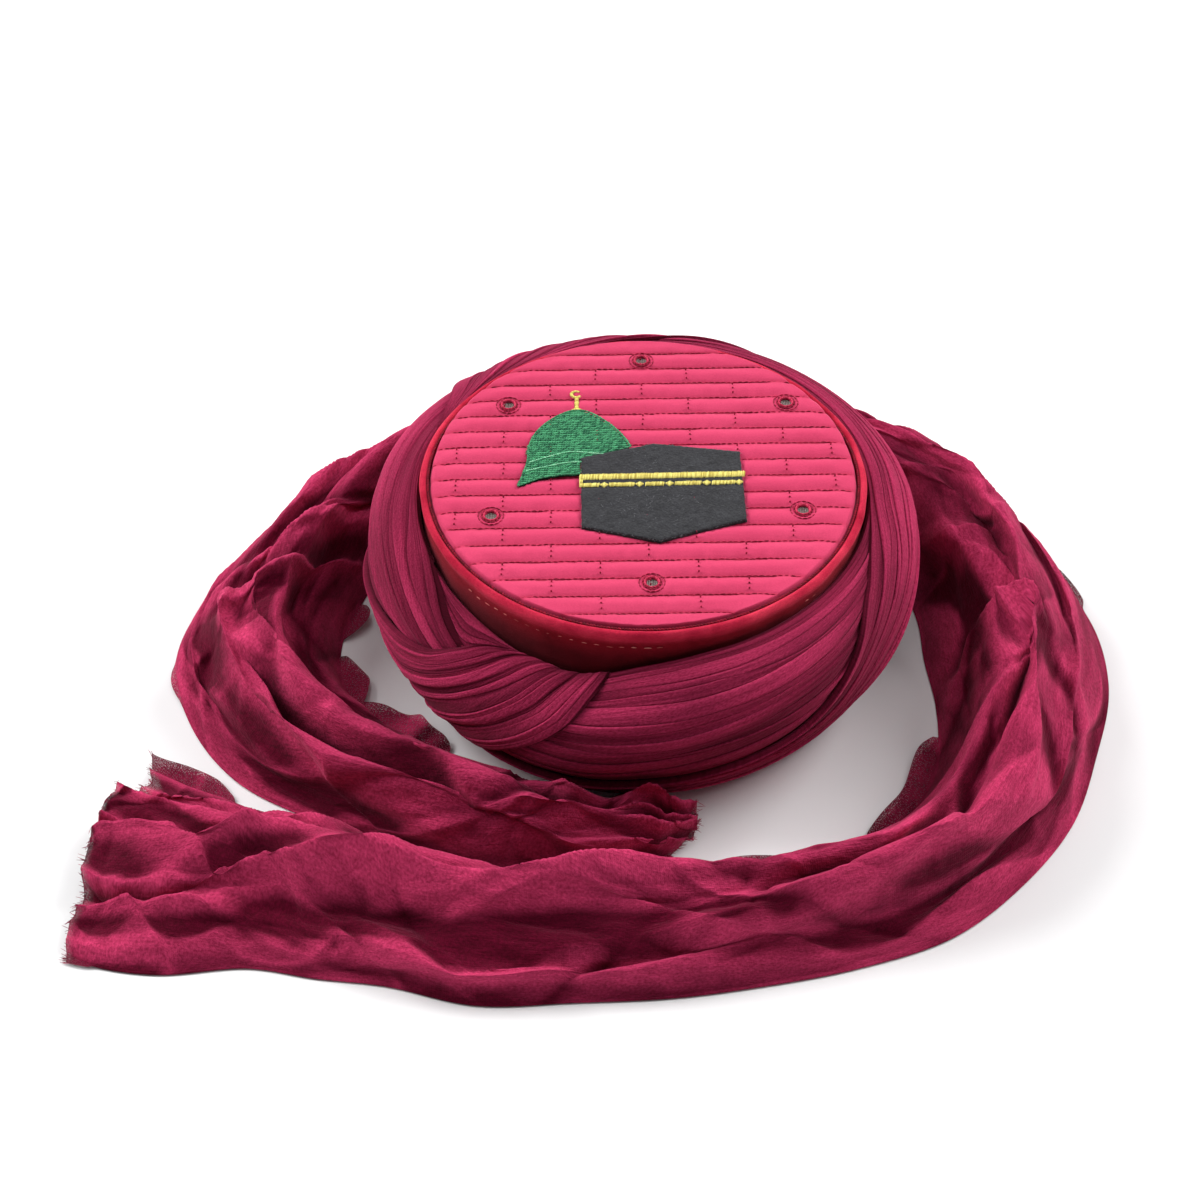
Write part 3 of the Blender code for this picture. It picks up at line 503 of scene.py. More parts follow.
class Finish:
    """A node material with a Principled shader, built by chaining nodes."""

    def __init__(self, name, roughness, **constants):
        self.material = bpy.data.materials.new(name)
        self.material.use_nodes = True
        self.tree = self.material.node_tree
        self.shader = self.tree.nodes["Principled BSDF"]
        self.set(self.shader, "Roughness", roughness)
        for socket, value in constants.items():
            self.set(self.shader, socket.replace("_", " "), value)

    def set(self, node, socket, value):
        target = node.inputs[socket]
        if isinstance(value, bpy.types.NodeSocket):
            self.tree.links.new(value, target)
        elif isinstance(value, tuple) and len(value) == 3 and target.type == "RGBA":
            target.default_value = (*value, 1.0)
        else:
            target.default_value = value

    def add(self, kind, output=0, settings=None, **inputs):
        node = self.tree.nodes.new(kind)
        for key, value in (settings or {}).items():
            setattr(node, key, value)
        for socket, value in inputs.items():
            self.set(node, socket.replace("_", " "), value)
        return node.outputs[output]

    def maths(self, operation, *values):
        node = self.tree.nodes.new("ShaderNodeMath")
        node.operation = operation
        for index, value in enumerate(values):
            self.set(node, index, value)
        return node.outputs[0]

    def flat(self, across=1.0, along=1.0):
        """The cloth's own flat coordinates in metres, stretched."""
        source = self.add("ShaderNodeUVMap", settings={"uv_map": "flat"})
        node = self.tree.nodes.new("ShaderNodeVectorMath")
        node.operation = "MULTIPLY"
        self.set(node, 0, source)
        self.set(node, 1, (along, across, 1.0))
        return node.outputs[0]

    def place(self):
        return self.add("ShaderNodeTexCoord", output=3)

    def noise(self, vector, scale, detail=2.0, roughness=0.5):
        return self.add(
            "ShaderNodeTexNoise", Vector=vector, Scale=scale, Detail=detail, Roughness=roughness,
        )

    def ramp(self, value, *stops):
        node = self.tree.nodes.new("ShaderNodeValToRGB")
        self.set(node, 0, value)
        ramp = node.color_ramp
        while len(ramp.elements) < len(stops):
            ramp.elements.new(0.5)
        for element, (position, colour) in zip(ramp.elements, stops):
            element.position = position
            element.color = (*(colour if isinstance(colour, tuple) else (colour,) * 3), 1.0)
        return node.outputs[0]

    def tint(self, colour, value, *stops):
        """A colour multiplied by a ramp of colours or greys over a value."""
        return self.mix(1.0, colour, self.ramp(value, *stops), "MULTIPLY")

    def mix(self, share, first, second, blend="MIX"):
        node = self.tree.nodes.new("ShaderNodeMix")
        node.data_type = "RGBA"
        node.blend_type = blend
        self.set(node, 0, share)
        for socket, value in ((6, first), (7, second)):
            if isinstance(value, tuple):
                value = (*value, 1.0)
            self.set(node, socket, value)
        return node.outputs[2]

    def mark(self, name):
        return self.add("ShaderNodeAttribute", output=2, settings={"attribute_name": name})

    def bump(self, height, distance, strength, normal=None):
        node = self.tree.nodes.new("ShaderNodeBump")
        self.set(node, "Height", height)
        self.set(node, "Distance", distance)
        self.set(node, "Strength", strength)
        if normal is not None:
            self.set(node, "Normal", normal)
        return node.outputs[0]

    def finish(self, colour, normal=None, alpha=None):
        self.set(self.shader, "Base Color", colour)
        if normal is not None:
            self.set(self.shader, "Normal", normal)
        if alpha is not None:
            self.set(self.shader, "Alpha", alpha)
        return self.material


# A wave texture of scale 1 repeats after this length
WAVE_TURN = 2 * math.pi / 20
# Lit and shaded copies of each muslin colour: painted light for fold crests, painted shade for valleys and hollows
MUSLIN_PAINTED_LIGHT = (0.41, 0.0265, 0.088)
WOUND_PAINTED_LIGHT = (0.43, 0.0270, 0.091)
MUSLIN_PAINTED_SHADE = (0.080, 0.0012, 0.012)
WOUND_PAINTED_SHADE = (0.055, 0.0007, 0.008)
MUSLIN_PITCH = 0.00085
COTTON_PITCH = 0.0006
NET_PITCH = 0.0007
UNEVEN = {"Distortion": 1.0, "Detail": 1.0, "Detail_Scale": 1.5}


def woven_height(finish, pitch, **waver):
    """Height of a plain weave whose threads lie a pitch apart: warp and weft waves."""
    vector = finish.flat()
    warp, weft = (
        finish.add(
            "ShaderNodeTexWave", output=1, settings={"bands_direction": direction},
            Vector=vector, Scale=WAVE_TURN / pitch, **waver,
        )
        for direction in ("X", "Y")
    )
    return finish.maths("MAXIMUM", warp, weft)


def muslin(name, crest, painted_valley_shade, loose=False):
    """Muslin: streaked where it is pleated, or crinkled and sheer at its edges where loose."""
    finish = Finish(
        name, 0.95, Sheen_Weight=0.12, Sheen_Roughness=0.5, Sheen_Tint=(1.0, 0.25, 0.4),
        Specular_IOR_Level=0.06,
    )
    weave = woven_height(finish, MUSLIN_PITCH, **UNEVEN)
    patches = finish.noise(finish.place(), 38.0, 4.0)
    grain = finish.noise(finish.flat(along=0.7), 1100.0, 2.0, 0.6)
    slubs = finish.noise(finish.flat(900.0, 120.0), 1.0)
    # Painted shade and light: the crest mark blends the shaded colour into valleys and the lit colour onto crests
    base = finish.mix(finish.mark("crest"), painted_valley_shade, crest)
    base = finish.tint(base, patches, (0.3, (0.86, 0.84, 0.86)), (0.7, 1.08))
    base = finish.tint(base, grain, (0.35, (0.76, 0.68, 0.72)), (0.65, (1.22, 1.38, 1.30)))
    base = finish.tint(base, slubs, (0.3, (0.90, 0.88, 0.90)), (0.7, (1.08, 1.10, 1.09)))
    normal = finish.bump(grain, 0.0004, 0.6)
    normal = finish.bump(weave, 0.00015, 0.6, normal)
    if not loose:
        streaks = finish.noise(finish.flat(620.0, 18.0), 1.0, 3.0)
        base = finish.tint(base, streaks, (0.25, (0.74, 0.70, 0.73)), (0.75, (1.14, 1.16, 1.15)))
        return finish.finish(base, finish.bump(streaks, 0.0007, 0.7, normal))
    crinkle = finish.noise(finish.flat(along=0.4), 300.0, 4.0, 0.6)
    normal = finish.bump(crinkle, 0.0022, 0.55, normal)
    base = finish.tint(base, crinkle, (0.32, (0.82, 0.78, 0.80)), (0.62, (1.08, 1.10, 1.09)))
    speckle = finish.noise(finish.flat(), 2300.0, 1.0)
    holes = finish.ramp(speckle, (0.34, 0.35), (0.46, 1.0))
    solid = finish.maths("SUBTRACT", 1.0, finish.mark("sheer"))
    return finish.finish(base, normal, finish.maths("MAXIMUM", holes, solid))


def velvet():
    finish = Finish(
        "velvet", 0.9, Sheen_Weight=0.28, Sheen_Roughness=0.4, Sheen_Tint=(1.0, 0.18, 0.24),
        Specular_IOR_Level=0.05,
    )
    pile = finish.noise(finish.place(), 2600.0)
    strokes = finish.noise(finish.place(), 60.0, 4.0, 0.6)
    base = finish.ramp(
        strokes, (0.3, (0.17, 0.001, 0.007)), (0.5, (0.28, 0.005, 0.016)), (0.72, (0.38, 0.011, 0.026)),
    )
    base = finish.tint(base, pile, (0.3, 0.75), (0.7, 1.2))
    # Painted shade and highlight: the rise mark darkens the band towards its foot and lightens it along the rim
    rise = finish.mark("rise")
    base = finish.tint(base, rise, (0.0, (0.20, 0.22, 0.22)), (0.7, 0.6), (1.0, (1.6, 3.2, 2.9)))
    normal = finish.bump(strokes, 0.0008, 0.35)
    return finish.finish(base, finish.bump(pile, 0.0003, 0.8, normal))


def quilted_cotton():
    finish = Finish(
        "quilted_cotton", 0.82, Sheen_Weight=0.15, Sheen_Roughness=0.4,
        Sheen_Tint=(1.0, 0.7, 0.8), Specular_IOR_Level=0.2,
    )
    weave = woven_height(finish, COTTON_PITCH, **UNEVEN)
    patches = finish.noise(finish.place(), 30.0, 3.0)
    grain = finish.noise(finish.place(), 1800.0)
    base = finish.ramp(patches, (0.3, (0.505, 0.0315, 0.098)), (0.7, (0.54, 0.038, 0.110)))
    # Painted shade: the cloth is coloured darker along the stitched grooves
    base = finish.mix(finish.mark("groove"), base, (0.32, 0.006, 0.030))
    base = finish.tint(base, grain, (0.3, (0.93, 0.9, 0.92)), (0.7, (1.05, 1.08, 1.06)))
    normal = finish.bump(grain, 0.00012, 0.5)
    return finish.finish(base, finish.bump(weave, 0.00008, 0.5, normal))


def felt():
    finish = Finish(
        "black_felt", 0.95, Sheen_Weight=0.10, Sheen_Roughness=0.6, Specular_IOR_Level=0.10,
    )
    fibres = finish.noise(finish.place(), 900.0, 5.0, 0.7)
    clumps = finish.noise(finish.place(), 140.0, 4.0, 0.6)
    base = finish.ramp(
        fibres, (0.3, (0.010, 0.010, 0.012)), (0.62, (0.027, 0.027, 0.031)), (0.8, (0.075, 0.075, 0.080)),
    )
    base = finish.tint(base, clumps, (0.3, 0.8), (0.7, 1.25))
    return finish.finish(base, finish.bump(fibres, 0.0006, 0.9))


def thread(name, dark, light, roughness=0.45):
    """Twisted sewing thread; light and dark follow its twist and its own shade mark."""
    finish = Finish(name, roughness, Sheen_Weight=0.03, Specular_IOR_Level=0.12)
    twist = finish.noise(finish.place(), 1500.0, 3.0)
    both = finish.maths("MULTIPLY", finish.maths("ADD", twist, finish.mark("shade")), 0.5)
    base = finish.ramp(both, (0.2, dark), (0.75, light))
    return finish.finish(base, finish.bump(twist, 0.0002, 0.6))


def net():
    """Fine metal net behind an eyelet."""
    finish = Finish("vent_net", 0.4, Metallic=0.6)
    weave = woven_height(finish, NET_PITCH)
    # Painted shade: the dark between the wires stands for the hollow seen through the net
    base = finish.ramp(weave, (0.35, (0.07, 0.045, 0.04)), (0.8, (0.36, 0.30, 0.28)))
    return finish.finish(base, finish.bump(weave, 0.0003, 0.9))


# Winding

TOP_ANGLES = np.array([brow.angle for brow in WINDING_TOP], float)


def winding_top(angle):
    """Height of the winding's upper edge round the cap."""
    angle = (np.asarray(angle, float) + 180) % 360 - 180
    index = np.clip(np.searchsorted(TOP_ANGLES, angle) - 1, 0, len(TOP_ANGLES) - 2)
    gap = TOP_ANGLES[index + 1] - TOP_ANGLES[index]
    position = index + (angle - TOP_ANGLES[index]) / gap
    return smooth_between(WINDING_TOP, position)[..., 1] * CAP_HEIGHT


def winding_section(angle, drop):
    """Radius and height of the winding's face. Past its ends it is tucked in."""
    shares = smooth_between(WINDING_SECTION, np.clip(drop, 0, 1) * (len(WINDING_SECTION) - 1))
    height = winding_top(angle) * np.clip(shares[..., 0], 0, 1)
    radius = WINDING_RADIUS + WINDING_BULGE * np.maximum(shares[..., 1], 0.05)
    above = np.maximum(-drop, 0) * CAP_HEIGHT
    below = np.maximum(drop - 1, 0) * CAP_HEIGHT
    radius = np.maximum(radius - above - below, WALL_RADIUS + WALL_TOUCH)
    return radius, height - above


def winding_point(angle, drop, lift):
    """A point lifted off the winding's face, square to it."""
    radius, height = winding_section(angle, drop)
    low_radius, low_height = winding_section(angle, drop - SLOPE_STEP)
    high_radius, high_height = winding_section(angle, drop + SLOPE_STEP)
    out = low_height - high_height
    up = high_radius - low_radius
    length = np.hypot(out, up) + 1e-9
    fade = np.clip((radius - WINDING_RADIUS) / RELIEF_FADE, THIN_RELIEF, 1)
    lift = lift * fade
    height = np.maximum(height + lift * up / length, SURFACE_GAP)
    return polar(angle, np.maximum(radius + lift * out / length, WALL_RADIUS + WALL_TOUCH), height)


def side_place(side, share, facing):
    """Angle and drop at a share along a pass's side, which runs over one stretch or more."""
    begin = 0
    for stretch in side:
        if share <= stretch.until or stretch is side[-1]:
            f = (share - begin) / (stretch.until - begin)
            position = stretch.first + (stretch.last - stretch.first) * f
            break
        begin = stretch.until
    if stretch.seam == "velvet":
        return np.array((position, 0.0))
    if stretch.seam == "base":
        return np.array((position, 1.0))
    angle, drop = smooth_between(SEAMS[stretch.seam], position)
    return np.array((facing + (angle - facing + 180) % 360 - 180, min(max(drop, 0.0), 1.0)))


def pass_grid(one):
    """Places over a pass by blending its four sides, evened out inside."""
    along = np.linspace(0, 1, one.steps + 1)
    across = np.linspace(0, 1, PASS_ACROSS + 1)
    upper = np.array([side_place(one.upper, share, one.facing) for share in along])
    lower = np.array([side_place(one.lower, share, one.facing) for share in along])
    ends = []
    for side, index in ((one.start, 0), (one.end, -1)):
        if side:
            ends.append(np.array([side_place(side, share, one.facing) for share in across]))
        else:
            ends.append(upper[index] + (lower[index] - upper[index]) * across[:, None])
    u, v = along[:, None, None], across[None, :, None]
    grid = (1 - v) * upper[:, None] + v * lower[:, None] + (1 - u) * ends[0] + u * ends[1]
    grid -= (1 - u) * (1 - v) * upper[0] + u * (1 - v) * upper[-1]
    grid -= (1 - u) * v * lower[0] + u * v * lower[-1]
    for _ in range(one.evening * 4):
        inner = grid[:-2, 1:-1] + grid[2:, 1:-1] + grid[1:-1, :-2] + grid[1:-1, 2:]
        grid[1:-1, 1:-1] = inner / 4
    return grid


def places_over(grid, u, v):
    """Values of a coarse grid at shares u (one per row) and v (rows by columns)."""
    lines = smooth_between(grid, u * (grid.shape[0] - 1))
    last = grid.shape[1] - 1
    position = v * last
    index = np.clip(np.floor(position).astype(int), 0, last - 1)
    f = (position - index)[..., None]
    row = np.arange(len(u))[:, None]
    around = (lines[row, np.clip(index + step, 0, last)] for step in (-1, 0, 1, 2))
    return cubic(*around, f)


def line_length(points):
    return np.linalg.norm(np.diff(points, axis=0), axis=-1).sum()


def pleat_columns(one, u, length):
    """Shares across a pass and heights of its pleats at each row."""
    chance = np.random.default_rng(one.seed)
    widths = chance.uniform(1 - one.stray, 1 + one.stray, one.pleats)
    edges = np.concatenate(((0,), np.cumsum(widths) / widths.sum()))
    lines = np.repeat(edges[None], len(u), 0)
    knots = max(3, int(length / PLEAT_KNOTS))
    for k in range(1, one.pleats):
        room = PLEAT_STRAY * min(edges[k] - edges[k - 1], edges[k + 1] - edges[k])
        lines[:, k] += room * chance_line(u, one.seed * 100 + k, knots)
    section = np.array(FOLD_SECTION)
    if one.lean < 0:
        section = np.stack((1 - section[::-1, 0], section[::-1, 1]), -1)
    columns, heights = [], []
    for k in range(one.pleats):
        low, width = lines[:, k, None], (lines[:, k + 1] - lines[:, k])[:, None]
        columns.append(low + width * section[None, :, 0])
        own = PLEAT_LEVEL + PLEAT_SWELL * chance_line(u, one.seed * 300 + k, knots)
        tall = own * chance.uniform(0.7, 1.15)
        heights.append(tall[:, None] * section[None, :, 1])
    columns.append(lines[:, -1:])
    heights.append(np.zeros((len(u), 1)))
    return np.concatenate(columns, 1), np.concatenate(heights, 1)


def extended(flat, first, last, axis):
    """Go on past the first and last lines of a grid in its own direction."""
    lines = np.moveaxis(flat, axis, 0)
    reach = max(2, len(lines) // 10)
    sides = []
    for edge, inner, border in ((0, reach, first[::-1]), (-1, -1 - reach, last)):
        direction = unit(lines[edge] - lines[inner])
        sides.append([lines[edge] + direction * step.outward for step in border])
    return np.moveaxis(np.concatenate((sides[0], lines, sides[1])), 0, axis)


def past_edges(values, first, last, axis, sink=0):
    """Repeat a grid's edge values past its first and last lines; sink 1 adds the borders' lift."""
    values = values if axis == 0 else values.T
    before = [values[0] + sink * step.lift for step in first[::-1]]
    after = [values[-1] + sink * step.lift for step in last]
    values = np.concatenate((before, values, after))
    return values if axis == 0 else values.T


def make_pass(one, finish):
    grid = pass_grid(one)
    scale = np.array((math.radians(WINDING_RADIUS + 0.7 * WINDING_BULGE), CAP_HEIGHT))
    middle = places_over(grid, np.linspace(0, 1, 40), np.full((40, 1), 0.5))[:, 0]
    length = line_length(polar(middle[:, 0], *winding_section(middle[:, 0], middle[:, 1])))
    u = np.linspace(0, 1, int(length / PASS_STEP))
    v, height = pleat_columns(one, u, length)
    v = np.clip(v, 0, 1)
    flat = places_over(grid, u, v) * scale
    widths = np.linalg.norm(flat[:, -1] - flat[:, 0], axis=-1)[:, None]
    wide = u[:, None] + 0 * v
    distances = (v * widths, (1 - v) * widths, u[:, None] * length, (1 - u[:, None]) * length)
    lift = sum(
        roll * EDGE_ROLL * np.exp(-distance / EDGE_ROLL_REACH)
        for roll, distance in zip(one.roll, distances)
    )
    fine, soft = (
        chance_field(wide, v, one.seed + more, (int(length / cell), int(cells * one.pleats)))
        for more, cell, cells in ((50, 0.035, 5.3), (60, 0.05, 1))
    )
    lift = lift + PLEAT_DEPTH * (height - 1) + PLEAT_FINE * fine + PLEAT_SOFT * soft
    upper, lower, start, end = (BORDERS[roll] for roll in one.roll)

    def framed(values, sink=0):
        return past_edges(past_edges(values, upper, lower, 1, sink), start, end, 0, sink)

    places = extended(extended(flat, upper, lower, 1), start, end, 0) / scale
    points = winding_point(places[..., 0], places[..., 1], framed(lift, 1))
    # Painted shade: each pleat is coloured darker down in its valley and lighter on its crest, by its height
    crest = framed(np.clip(height + 0.12 * fine, 0, 1))
    uv = np.stack((framed(wide * length), framed(v * widths)), -1)
    thing = mesh_object(one.name + "_cloth", points, grid_faces(*crest.shape), finish, uv, {"crest": crest})
    dress(thing, "muslin", one.name)
    declare(thing, length, "velvet_band")


def dress(thing, slot, node=None):
    """Fix a piece to the part, in place of a plain solid where one is named."""
    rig.ride(thing, "root")
    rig.slot(thing, slot)
    if node:
        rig.replaces(thing, node)
    return thing


def declare(thing, length, carrier, with_pieces=()):
    """Say that a piece is cloth, of its own length and the width that its folds take up."""
    flat = (sum(face.area for face in thing.data.polygons) / length, length)
    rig.sheet(thing, flat=flat, held="gathered", rests_on=[carrier], with_pieces=list(with_pieces))


# Tails

def face_radius(angle, height):
    """Radius of the winding's face at a height in its lower part."""
    found = np.zeros_like(height)
    done = np.zeros(height.shape, bool)
    for step in range(FACE_STEPS + 1):
        drop = 1 - LOWER_SHARE * step / FACE_STEPS
        radius, level = winding_section(angle, np.full_like(height, drop))
        found = np.where(done, found, radius)
        done |= level >= height
    return found


def tail_mound(along, across, height, width, wander):
    """Height of a tail's plain mound with its long ridges, and the ridges' phase."""
    lean = math.log(0.5) / math.log(TAIL_CREST)
    inside = np.clip(across, 1e-6, 1 - 1e-6)
    mound = height * np.sin(np.pi * inside ** lean) ** 0.9
    drift = wander + 1.6 * along + 0.30 * np.sin(7 * along + wander)
    phase = 2 * np.pi * (TAIL_RIDGES * across + drift)
    ridge = TAIL_RIDGE * np.minimum(1.0, width / TAIL_WIDTH) ** 2
    return np.maximum(0.0, mound + ridge * np.cos(phase) * np.sin(np.pi * inside)), phase


# A fold of a tail runs through places given as shares along and across it. Faces says to which
# side its steep face looks, seen along the line: 1 to the left, -1 to the right.
Ridge = namedtuple("Ridge", "height gentle steep faces places")
RIGHT_RIDGES = (
    Ridge(0.01, 0.016, 0.004, -1, ((0.335, 0.92), (0.305, 0.82), (0.295, 0.7), (0.29, 0.55),
        (0.305, 0.42))),
    Ridge(0.005, 0.02, 0.005, -1, ((0.215, 0.92), (0.228, 0.65), (0.215, 0.35), (0.2, 0.06))),
    Ridge(0.004, 0.01, 0.0035, -1, ((0.14, 0.8), (0.17, 0.6), (0.2, 0.5))),
    Ridge(0.0085, 0.013, 0.0045, -1, ((0.3, 0.6), (0.335, 0.68), (0.375, 0.78), (0.44, 0.72), (0.5, 0.62),
        (0.57, 0.6))),
    Ridge(0.0085, 0.012, 0.004, -1, ((0.33, 0.12), (0.36, 0.19), (0.4, 0.33), (0.455, 0.45),
        (0.515, 0.38), (0.598, 0.26), (0.66, 0.16))),
    Ridge(0.005, 0.008, 0.0035, 1, ((0.3, 0.46), (0.33, 0.4), (0.37, 0.46), (0.41, 0.56))),
    Ridge(0.0045, 0.008, 0.0035, -1, ((0.27, 0.24), (0.31, 0.2), (0.35, 0.06))),
    Ridge(0.0125, 0.01, 0.0032, -1, ((0.93, 0.28), (0.89, 0.35), (0.85, 0.4), (0.81, 0.43), (0.77, 0.43),
        (0.73, 0.45), (0.69, 0.49), (0.64, 0.54), (0.57, 0.6))),
    Ridge(0.0075, 0.008, 0.003, -1, ((0.94, 0.42), (0.88, 0.52), (0.84, 0.6), (0.797, 0.65), (0.75, 0.69),
        (0.7, 0.78), (0.64, 0.88))),
    Ridge(0.006, 0.006, 0.0028, -1, ((0.9, 0.64), (0.86, 0.72), (0.81, 0.78), (0.76, 0.84), (0.7, 0.94))),
    Ridge(0.0055, 0.009, 0.004, 1, ((0.88, 0.1), (0.79, 0.13), (0.72, 0.1), (0.62, 0.1), (0.52, 0.09),
        (0.44, 0.08))),
    Ridge(0.006, 0.012, 0.0045, -1, ((0.98, 0.84), (0.9, 0.7), (0.84, 0.72), (0.77, 0.82))),
    Ridge(0.007, 0.009, 0.003, -1, ((1.01, 0.27), (0.95, 0.22), (0.905, 0.22), (0.86, 0.3))),
    Ridge(0.0055, 0.008, 0.003, -1, ((1.01, 0.44), (0.96, 0.46), (0.91, 0.4), (0.87, 0.38))),
    Ridge(0.006, 0.008, 0.003, -1, ((1.01, 0.66), (0.95, 0.6), (0.9, 0.5), (0.865, 0.46))),
    Ridge(0.0045, 0.007, 0.003, -1, ((1.01, 0.1), (0.95, 0.07), (0.89, 0.08), (0.86, 0.15))),
    Ridge(0.004, 0.009, 0.0035, -1, ((0.56, 0.44), (0.62, 0.36), (0.69, 0.3))),
    Ridge(-0.015, 0.008, 0.006, 1, ((0.56, 0.32), (0.64, 0.3), (0.7, 0.29), (0.76, 0.28), (0.81, 0.27),
        (0.88, 0.2))),
    Ridge(-0.009, 0.009, 0.0045, 1, ((0.34, 0.26), (0.375, 0.24), (0.432, 0.33), (0.5, 0.31))),
    Ridge(-0.016, 0.01, 0.006, 1, ((0.225, 0.92), (0.255, 0.86), (0.285, 0.84), (0.325, 0.88))),
    Ridge(-0.008, 0.007, 0.004, 1, ((0.84, 0.36), (0.883, 0.37), (0.92, 0.52), (0.96, 0.7))),
    Ridge(-0.007, 0.005, 0.0025, 1, ((0.39, 0.72), (0.42, 0.68), (0.44, 0.56), (0.453, 0.42))),
    Ridge(-0.006, 0.005, 0.0025, -1, ((0.29, 0.47), (0.315, 0.37), (0.33, 0.25), (0.35, 0.15))),
    Ridge(-0.006, 0.005, 0.0025, 1, ((0.36, 0.44), (0.38, 0.32), (0.41, 0.24))),
    Ridge(-0.011, 0.008, 0.004, 1, ((0.4, 0.2), (0.46, 0.22), (0.53, 0.18), (0.6, 0.13))),
    Ridge(-0.007, 0.006, 0.003, 1, ((0.52, 0.5), (0.59, 0.46), (0.66, 0.42), (0.72, 0.4))),
    Ridge(-0.006, 0.006, 0.003, 1, ((0.56, 0.78), (0.64, 0.74), (0.72, 0.62), (0.77, 0.5))),
)
LEFT_RIDGES = (
    Ridge(0.006, 0.012, 0.004, 1, ((0.18, 0.7), (0.24, 0.86), (0.3, 0.76), (0.335, 0.52), (0.36, 0.2))),
    Ridge(0.008, 0.01, 0.0035, 1, ((0.24, 0.98), (0.3, 0.96), (0.345, 0.82), (0.385, 0.6), (0.41, 0.3),
        (0.43, 0.08))),
    Ridge(0.005, 0.009, 0.0035, 1, ((0.12, 0.5), (0.2, 0.46), (0.27, 0.4), (0.32, 0.1))),
    Ridge(0.0115, 0.013, 0.004, -1, ((0.355, 0.52), (0.395, 0.4), (0.435, 0.46), (0.51, 0.46),
        (0.588, 0.3), (0.7, 0.15), (0.79, 0.08))),
    Ridge(0.007, 0.016, 0.005, -1, ((0.4, 0.9), (0.43, 0.8), (0.52, 0.66), (0.618, 0.55), (0.69, 0.6),
        (0.77, 0.72))),
    Ridge(0.0045, 0.007, 0.003, -1, ((0.44, 0.2), (0.5, 0.26), (0.56, 0.2), (0.64, 0.08))),
    Ridge(0.017, 0.011, 0.004, -1, ((0.77, 0.98), (0.805, 0.84), (0.833, 0.73), (0.88, 0.62))),
    Ridge(0.012, 0.008, 0.003, 1, ((0.88, 0.95), (0.9, 0.8), (0.912, 0.67), (0.95, 0.55))),
    Ridge(0.012, 0.01, 0.004, -1, ((0.6, 0.98), (0.63, 0.87), (0.67, 0.72), (0.71, 0.68), (0.75, 0.8))),
    Ridge(0.007, 0.01, 0.0035, -1, ((0.74, 0.52), (0.8, 0.48), (0.86, 0.44), (0.93, 0.5), (0.99, 0.62))),
    Ridge(0.0105, 0.009, 0.0035, -1, ((0.76, 0.3), (0.82, 0.26), (0.87, 0.2), (0.93, 0.22),
        (0.99, 0.34))),
    Ridge(0.006, 0.008, 0.0035, -1, ((0.64, 0.8), (0.7, 0.86), (0.76, 0.92))),
    Ridge(0.019, 0.012, 0.004, -1, ((0.85, 1.04), (0.895, 0.92), (0.92, 0.8), (0.94, 0.64))),
    Ridge(-0.009, 0.009, 0.0045, 1, ((0.47, 0.3), (0.535, 0.27), (0.613, 0.16), (0.718, 0.08))),
    Ridge(-0.011, 0.008, 0.004, 1, ((0.35, 0.14), (0.385, 0.2), (0.413, 0.24), (0.458, 0.22))),
    Ridge(-0.01, 0.008, 0.004, -1, ((0.385, 0.25), (0.372, 0.42), (0.345, 0.68), (0.29, 0.9))),
    Ridge(-0.009, 0.006, 0.0035, 1, ((0.76, 0.72), (0.8, 0.66), (0.843, 0.58), (0.927, 0.62))),
    Ridge(-0.008, 0.007, 0.0035, 1, ((0.4, 0.64), (0.47, 0.62), (0.56, 0.44), (0.64, 0.36))),
    Ridge(-0.008, 0.006, 0.0035, 1, ((0.2, 0.6), (0.26, 0.62), (0.32, 0.4), (0.35, 0.12))),
    Ridge(-0.006, 0.006, 0.003, 1, ((0.06, 0.5), (0.13, 0.56), (0.2, 0.4), (0.26, 0.25))),
)

# Single layers of cloth past the edges of a tail: where they start and end, how wide they are
Hem = namedtuple("Hem", "start end width")
RIGHT_INNER_HEMS = (Hem(0.36, 0.47, 0.012), Hem(0.50, 0.62, 0.010), Hem(0.66, 0.72, 0.004),
        Hem(0.90, 1.0, 0.009))
RIGHT_OUTER_HEMS = (Hem(0.14, 0.24, 0.007), Hem(0.94, 1.0, 0.004))
LEFT_INNER_HEMS = (Hem(0.33, 0.39, 0.009), Hem(0.41, 0.50, 0.013), Hem(0.49, 0.63, 0.016),
        Hem(0.84, 0.98, 0.008))
LEFT_OUTER_HEMS = (Hem(0.38, 0.47, 0.003),)
RIDGE_SAMPLES = 6
HEM_COLUMNS = 6
HEM_LOWEST = 0.0003
CURL_OUT = 0.0011
CURL_DOWN = 0.0013

# How far the free end reaches past its even line, in metres, from the outer to the inner edge
RIGHT_END = (0.0, 0.003, -0.007, 0.003, 0.013, 0.019, 0.009, -0.010, -0.012, 0.002)
LEFT_END = (-0.034, -0.018, -0.004, 0.006, 0.010, 0.002, -0.010, -0.016, -0.022, -0.030)

# Uneven creases by size, and chance folds: how many over a metre, height, reaches and length
Crease = namedtuple("Crease", "height cell cells_across")
BROAD, MIDDLE, FINE = Crease(0.0050, 0.07, 6), Crease(0.0028, 0.035, 12), Crease(0.0008, 0.012, 22)
CREASE_LEVEL = 0.4
LITTER_TURN = 0.17
LITTER_BEND = 0.32
Litter = namedtuple("Litter", "count height gentle steep length")
LITTER = (
    Litter(46, 0.0078, 0.0080, 0.0028, 0.170),
    Litter(110, 0.0040, 0.0050, 0.0018, 0.100),
    Litter(200, 0.0015, 0.0024, 0.0011, 0.040),
)


